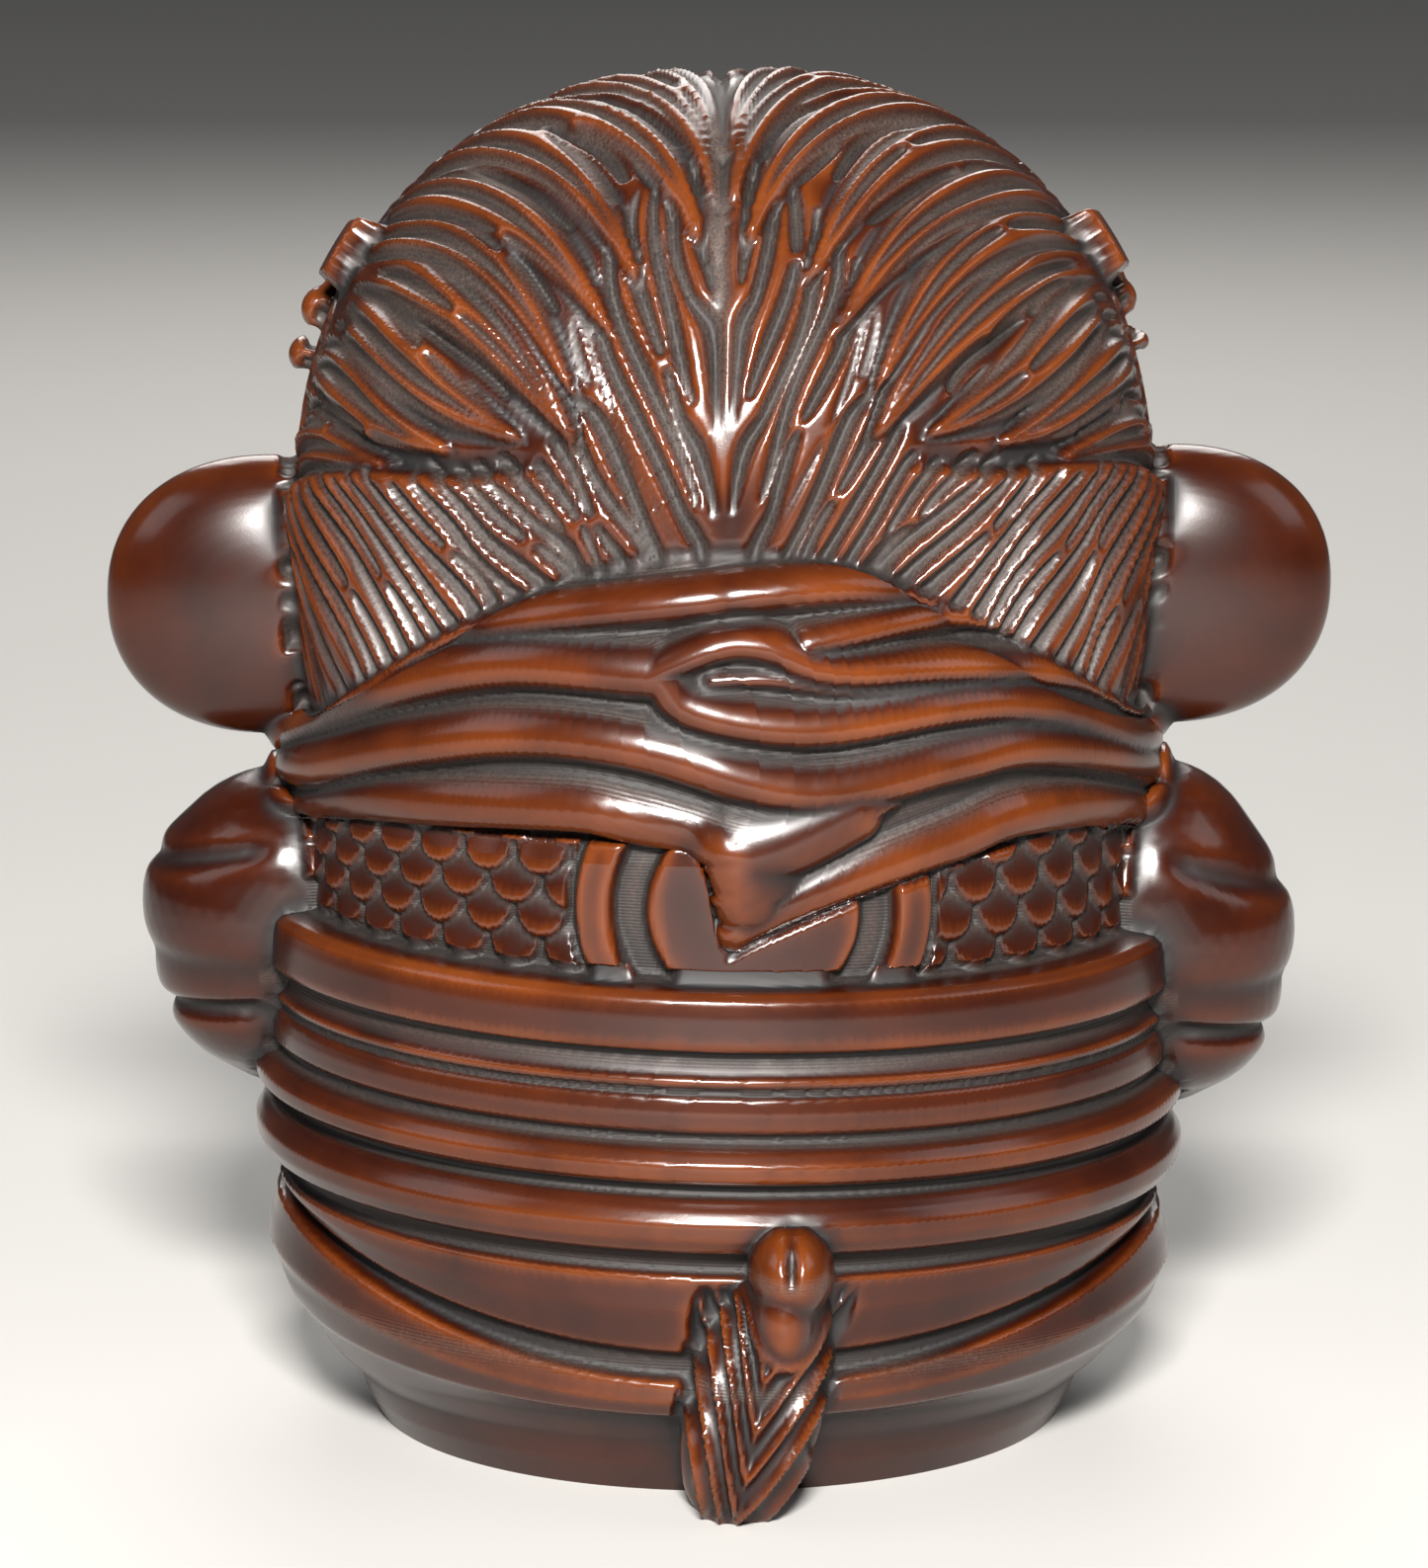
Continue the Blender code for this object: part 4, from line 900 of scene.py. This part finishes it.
def cut_flat(points, triangles, marks):
    """Cut the skin off at Z = 0 and close the underside."""
    triangles = triangles[(points[triangles][:, :, 2] > 0.0).any(axis=1)]
    used, fresh = np.unique(triangles, return_inverse=True)
    triangles = fresh.reshape(-1, 3)
    points = points[used]
    points[:, 2] = np.maximum(points[:, 2], 0.0)
    marks = {name: values[used] for name, values in marks.items()}
    pairs = np.concatenate([triangles[:, [0, 1]], triangles[:, [1, 2]], triangles[:, [2, 0]]])
    pairs = np.sort(pairs, axis=1)
    keys, counts = np.unique(pairs[:, 0] * len(points) + pairs[:, 1], return_counts=True)
    rim = keys[counts == 1]
    rim = np.stack([rim // len(points), rim % len(points)], -1)
    shape = bmesh.new()
    corners = {int(index): shape.verts.new(points[index]) for index in np.unique(rim)}
    back = {vert: index for index, vert in corners.items()}
    edges = [shape.edges.new((corners[int(a)], corners[int(b)])) for a, b in rim]
    bmesh.ops.holes_fill(shape, edges=edges)
    bmesh.ops.triangulate(shape, faces=shape.faces[:])
    sole = np.array([[back[vert] for vert in face.verts] for face in shape.faces])
    shape.free()
    sides = np.cross(points[sole[:, 1]] - points[sole[:, 0]], points[sole[:, 2]] - points[sole[:, 0]])
    sole[sides[:, 2] > 0.0] = sole[sides[:, 2] > 0.0][:, ::-1]
    links = np.stack([keys // len(points), keys % len(points)])
    return points, triangles, sole, links, marks


def spread_out(values, links, times):
    """Average values with their neighbours' a number of times."""
    first, second = links
    count = len(values)
    number = np.bincount(first, minlength=count) + np.bincount(second, minlength=count) + 1.0
    for _ in range(times):
        fresh = values.copy()
        for axis in range(values.shape[1]):
            column = values[:, axis]
            fresh[:, axis] += np.bincount(first, column[second], count)
            fresh[:, axis] += np.bincount(second, column[first], count)
        values = fresh / number[:, None]
    return values


def outward_normals(points, triangles):
    """Normal of each point, from the triangles around it."""
    sides = np.cross(points[triangles[:, 1]] - points[triangles[:, 0]],
                     points[triangles[:, 2]] - points[triangles[:, 0]])
    normals = np.zeros((len(points), 3))
    for corner in range(3):
        for axis in range(3):
            normals[:, axis] += np.bincount(triangles[:, corner], sides[:, axis], len(points))
    return normals / np.maximum(np.linalg.norm(normals, axis=1), 1e-9)[:, None]


def wood(name):
    """Polished boxwood: orange-brown and glossy on ridges, matte in the cuts and darker there as painted
    shade, with grey of dust and painted sheen in the strokes.
    """
    material = bpy.data.materials.new(name)
    material.use_nodes = True
    tree = material.node_tree
    shader = tree.nodes["Principled BSDF"]

    def node(kind, **settings):
        made = tree.nodes.new(kind)
        for key, value in settings.items():
            setattr(made, key, value)
        return made

    def put(socket, value):
        if hasattr(value, "links"):
            tree.links.new(value, socket)
        elif isinstance(value, tuple):
            socket.default_value = (*value, 1.0)
        else:
            socket.default_value = value

    def ramp(source, stops):
        made = node("ShaderNodeValToRGB")
        elements = made.color_ramp.elements
        while len(elements) < len(stops):
            elements.new(0.5)
        for element, (place, colour) in zip(elements, stops):
            element.position = place
            element.color = (*colour, 1.0)
        put(made.inputs["Fac"], source)
        return made.outputs["Color"]

    def mixed(factor, first, second, kind="MIX"):
        made = node("ShaderNodeMix", data_type="RGBA", blend_type=kind)
        put(made.inputs[0], factor)
        put(made.inputs[6], first)
        put(made.inputs[7], second)
        return made.outputs[2]

    def maths(kind, first, second=0.0):
        made = node("ShaderNodeMath", operation=kind)
        put(made.inputs[0], first)
        put(made.inputs[1], second)
        return made.outputs[0]

    def between(value, low, high, at_low, at_high):
        made = node("ShaderNodeMapRange")
        for socket, number in zip(("Value", "From Min", "From Max", "To Min", "To Max"),
                                  (value, low, high, at_low, at_high)):
            put(made.inputs[socket], number)
        return made.outputs["Result"]

    def noise(scale, detail):
        made = node("ShaderNodeTexNoise")
        made.inputs["Scale"].default_value = scale
        made.inputs["Detail"].default_value = detail
        put(made.inputs["Vector"], coords.outputs["Object"])
        return made.outputs["Fac"]

    coords = node("ShaderNodeTexCoord")
    relief = node("ShaderNodeAttribute", attribute_name="relief").outputs["Fac"]
    stroke = node("ShaderNodeAttribute", attribute_name="stroke").outputs["Fac"]
    furrow = node("ShaderNodeAttribute", attribute_name="furrow").outputs["Fac"]
    comb = node("ShaderNodeAttribute", attribute_name="comb").outputs["Fac"]
    grit = noise(9000.0, 3.0)
    blotch = noise(260.0, 4.0)
    broad = noise(70.0, 3.0)
    # painted shade: the wood's colour goes near-black towards the bottom of cuts, following the relief
    # attribute
    shaded_tone = ramp(relief, WOOD_TONES_WITH_PAINTED_SHADE)
    shaded_tone = mixed(1.0, shaded_tone, ramp(blotch, WOOD_BLOTCHES), "MULTIPLY")
    shaded_tone = mixed(1.0, shaded_tone, ramp(broad, WOOD_SHADES), "MULTIPLY")
    # grey in the strokes and furrows, partly dust and partly painted sheen, flecked by fine noise
    dust_and_sheen = ramp(grit, DUST_AND_SHEEN_TONES)
    matte = maths("ADD", maths("MULTIPLY", stroke, 0.95), maths("MULTIPLY", furrow, 0.4))
    matte = maths("MULTIPLY", maths("MINIMUM", matte, 0.85), between(relief, 0.05, 0.35, 0.3, 1.0))
    put(shader.inputs["Base Color"], mixed(matte, shaded_tone, dust_and_sheen))
    rough = between(relief, 0.25, 0.6, 0.62, 0.22)
    put(shader.inputs["Roughness"], maths("ADD", rough, maths("MULTIPLY", matte, 0.2)))
    lines = maths("SINE", maths("MULTIPLY", comb, 2.0 * math.pi / TOOL_LINE_PITCH))
    lines = maths("MULTIPLY", maths("MULTIPLY", lines, furrow), 0.3)
    bump = node("ShaderNodeBump")
    bump.inputs["Strength"].default_value = 0.6
    bump.inputs["Distance"].default_value = 0.00002
    put(bump.inputs["Height"], maths("ADD", lines, maths("MULTIPLY", grit, maths("ADD", matte, 0.12))))
    put(shader.inputs["Normal"], bump.outputs["Normal"])
    return material


def aimed(where, at):
    """Placement at one point that looks at another."""
    where = Vector(where)
    turn = (Vector(at) - where).to_track_quat("-Z", "Y").to_matrix().to_4x4()
    return Matrix.Translation(where) @ turn


def area_light(name, where, at, size, watts, colour):
    """Add a rectangular studio light."""
    data = bpy.data.lights.new(name, "AREA")
    data.shape = "RECTANGLE"
    data.size = size[0]
    data.size_y = size[1]
    data.energy = watts
    data.color = colour
    light = bpy.data.objects.new(name, data)
    bpy.context.scene.collection.objects.link(light)
    light.matrix_world = aimed(where, at)


def floor_plane():
    """Wide plain floor, not part of the object."""
    mesh = bpy.data.meshes.new("floor")
    corners = [(-FLOOR_HALF, -FLOOR_HALF, 0), (FLOOR_HALF, -FLOOR_HALF, 0),
               (FLOOR_HALF, FLOOR_HALF, 0), (-FLOOR_HALF, FLOOR_HALF, 0)]
    mesh.from_pydata(corners, [], [(0, 1, 2, 3)])
    floor = bpy.data.objects.new("floor", mesh)
    bpy.context.scene.collection.objects.link(floor)
    material = bpy.data.materials.new("pale_floor")
    material.use_nodes = True
    shader = material.node_tree.nodes["Principled BSDF"]
    shader.inputs["Base Color"].default_value = FLOOR_COLOUR
    shader.inputs["Roughness"].default_value = 0.7
    mesh.materials.append(material)


def carved_pieces():
    """Carve the fine skin and cut it into level slices, each a piece of its own."""
    skin = block_out()
    points, marks = carve(read_points(skin, "vertices"), read_points(skin, "vertex_normals"))
    points, triangles, sole, links, marks = cut_flat(points, read_triangles(skin), marks)
    softer = spread_out(points, links, 1)
    points += HAIR_SOFTENING * marks.pop("hair")[:, None] * (softer - points)
    normals = outward_normals(points, triangles)
    cell = SKIN_CELL / RELIEF_CELL
    fine = spread_out(points, links, max(2, round(FINE_ROUNDS / cell ** 2)))
    broad = spread_out(fine, links, max(6, round(BROAD_ROUNDS / cell ** 2)))
    # relief: low in cuts and high on crests; the material paints shade into the cuts with it
    relief = ((points - fine) * normals).sum(axis=1) / FINE_RISE
    relief = relief + ((points - broad) * normals).sum(axis=1) / BROAD_RISE
    marks["relief"] = np.clip(0.5 + 0.5 * relief, 0.0, 1.0)
    low, high = np.array(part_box("figurine")) / MM
    middle = (low + high) / 2.0
    own = (points.min(axis=0) + points.max(axis=0)) / 2.0
    points[:, :2] += (middle - own)[:2]
    heights = points[triangles].mean(axis=1)[:, 2]
    order = np.argsort(heights, kind="stable")
    material = wood("boxwood")
    slices = np.array_split(order, math.ceil(len(triangles) / TRIANGLES_A_PIECE))
    for index, chosen in enumerate(slices):
        corners = triangles[chosen]
        at_corners = normals[corners.ravel()]
        if index == 0:
            corners = np.concatenate([corners, sole])
            at_corners = np.concatenate([at_corners, np.tile([0.0, 0.0, -1.0], (sole.size, 1))])
        used, fresh = np.unique(corners, return_inverse=True)
        name = f"carving_{index + 1}"
        mesh = mesh_of(name, points[used] * MM, fresh.reshape(-1, 3))
        mesh.shade_smooth()
        for label, values in marks.items():
            held = mesh.attributes.new(label, "FLOAT", "POINT")
            held.data.foreach_set("value", values[used].astype(np.float32))
        mesh.normals_split_custom_set(at_corners.astype(np.float32))
        mesh.materials.append(material)
        piece = bpy.data.objects.new(name, mesh)
        bpy.context.scene.collection.objects.link(piece)
        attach(piece, "root")
        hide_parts("figurine")


carved_pieces()
floor_plane()

scene = bpy.context.scene
camera_data = bpy.data.cameras.new("camera")
camera_data.sensor_fit = "VERTICAL"
camera_data.sensor_height = 36.0
camera_data.lens = CAMERA_LENS
camera_data.clip_start = 0.01
camera = bpy.data.objects.new("camera", camera_data)
scene.collection.objects.link(camera)
camera.matrix_world = aimed(CAMERA_PLACE, CAMERA_AIM)
scene.camera = camera
scene.view_settings.view_transform = "Standard"

for settings in LIGHTS:
    area_light(*settings)
world = bpy.data.worlds.new("studio")
world.use_nodes = True
world.node_tree.nodes["Background"].inputs["Color"].default_value = SKY_COLOUR
world.node_tree.nodes["Background"].inputs["Strength"].default_value = SKY_STRENGTH
scene.world = world
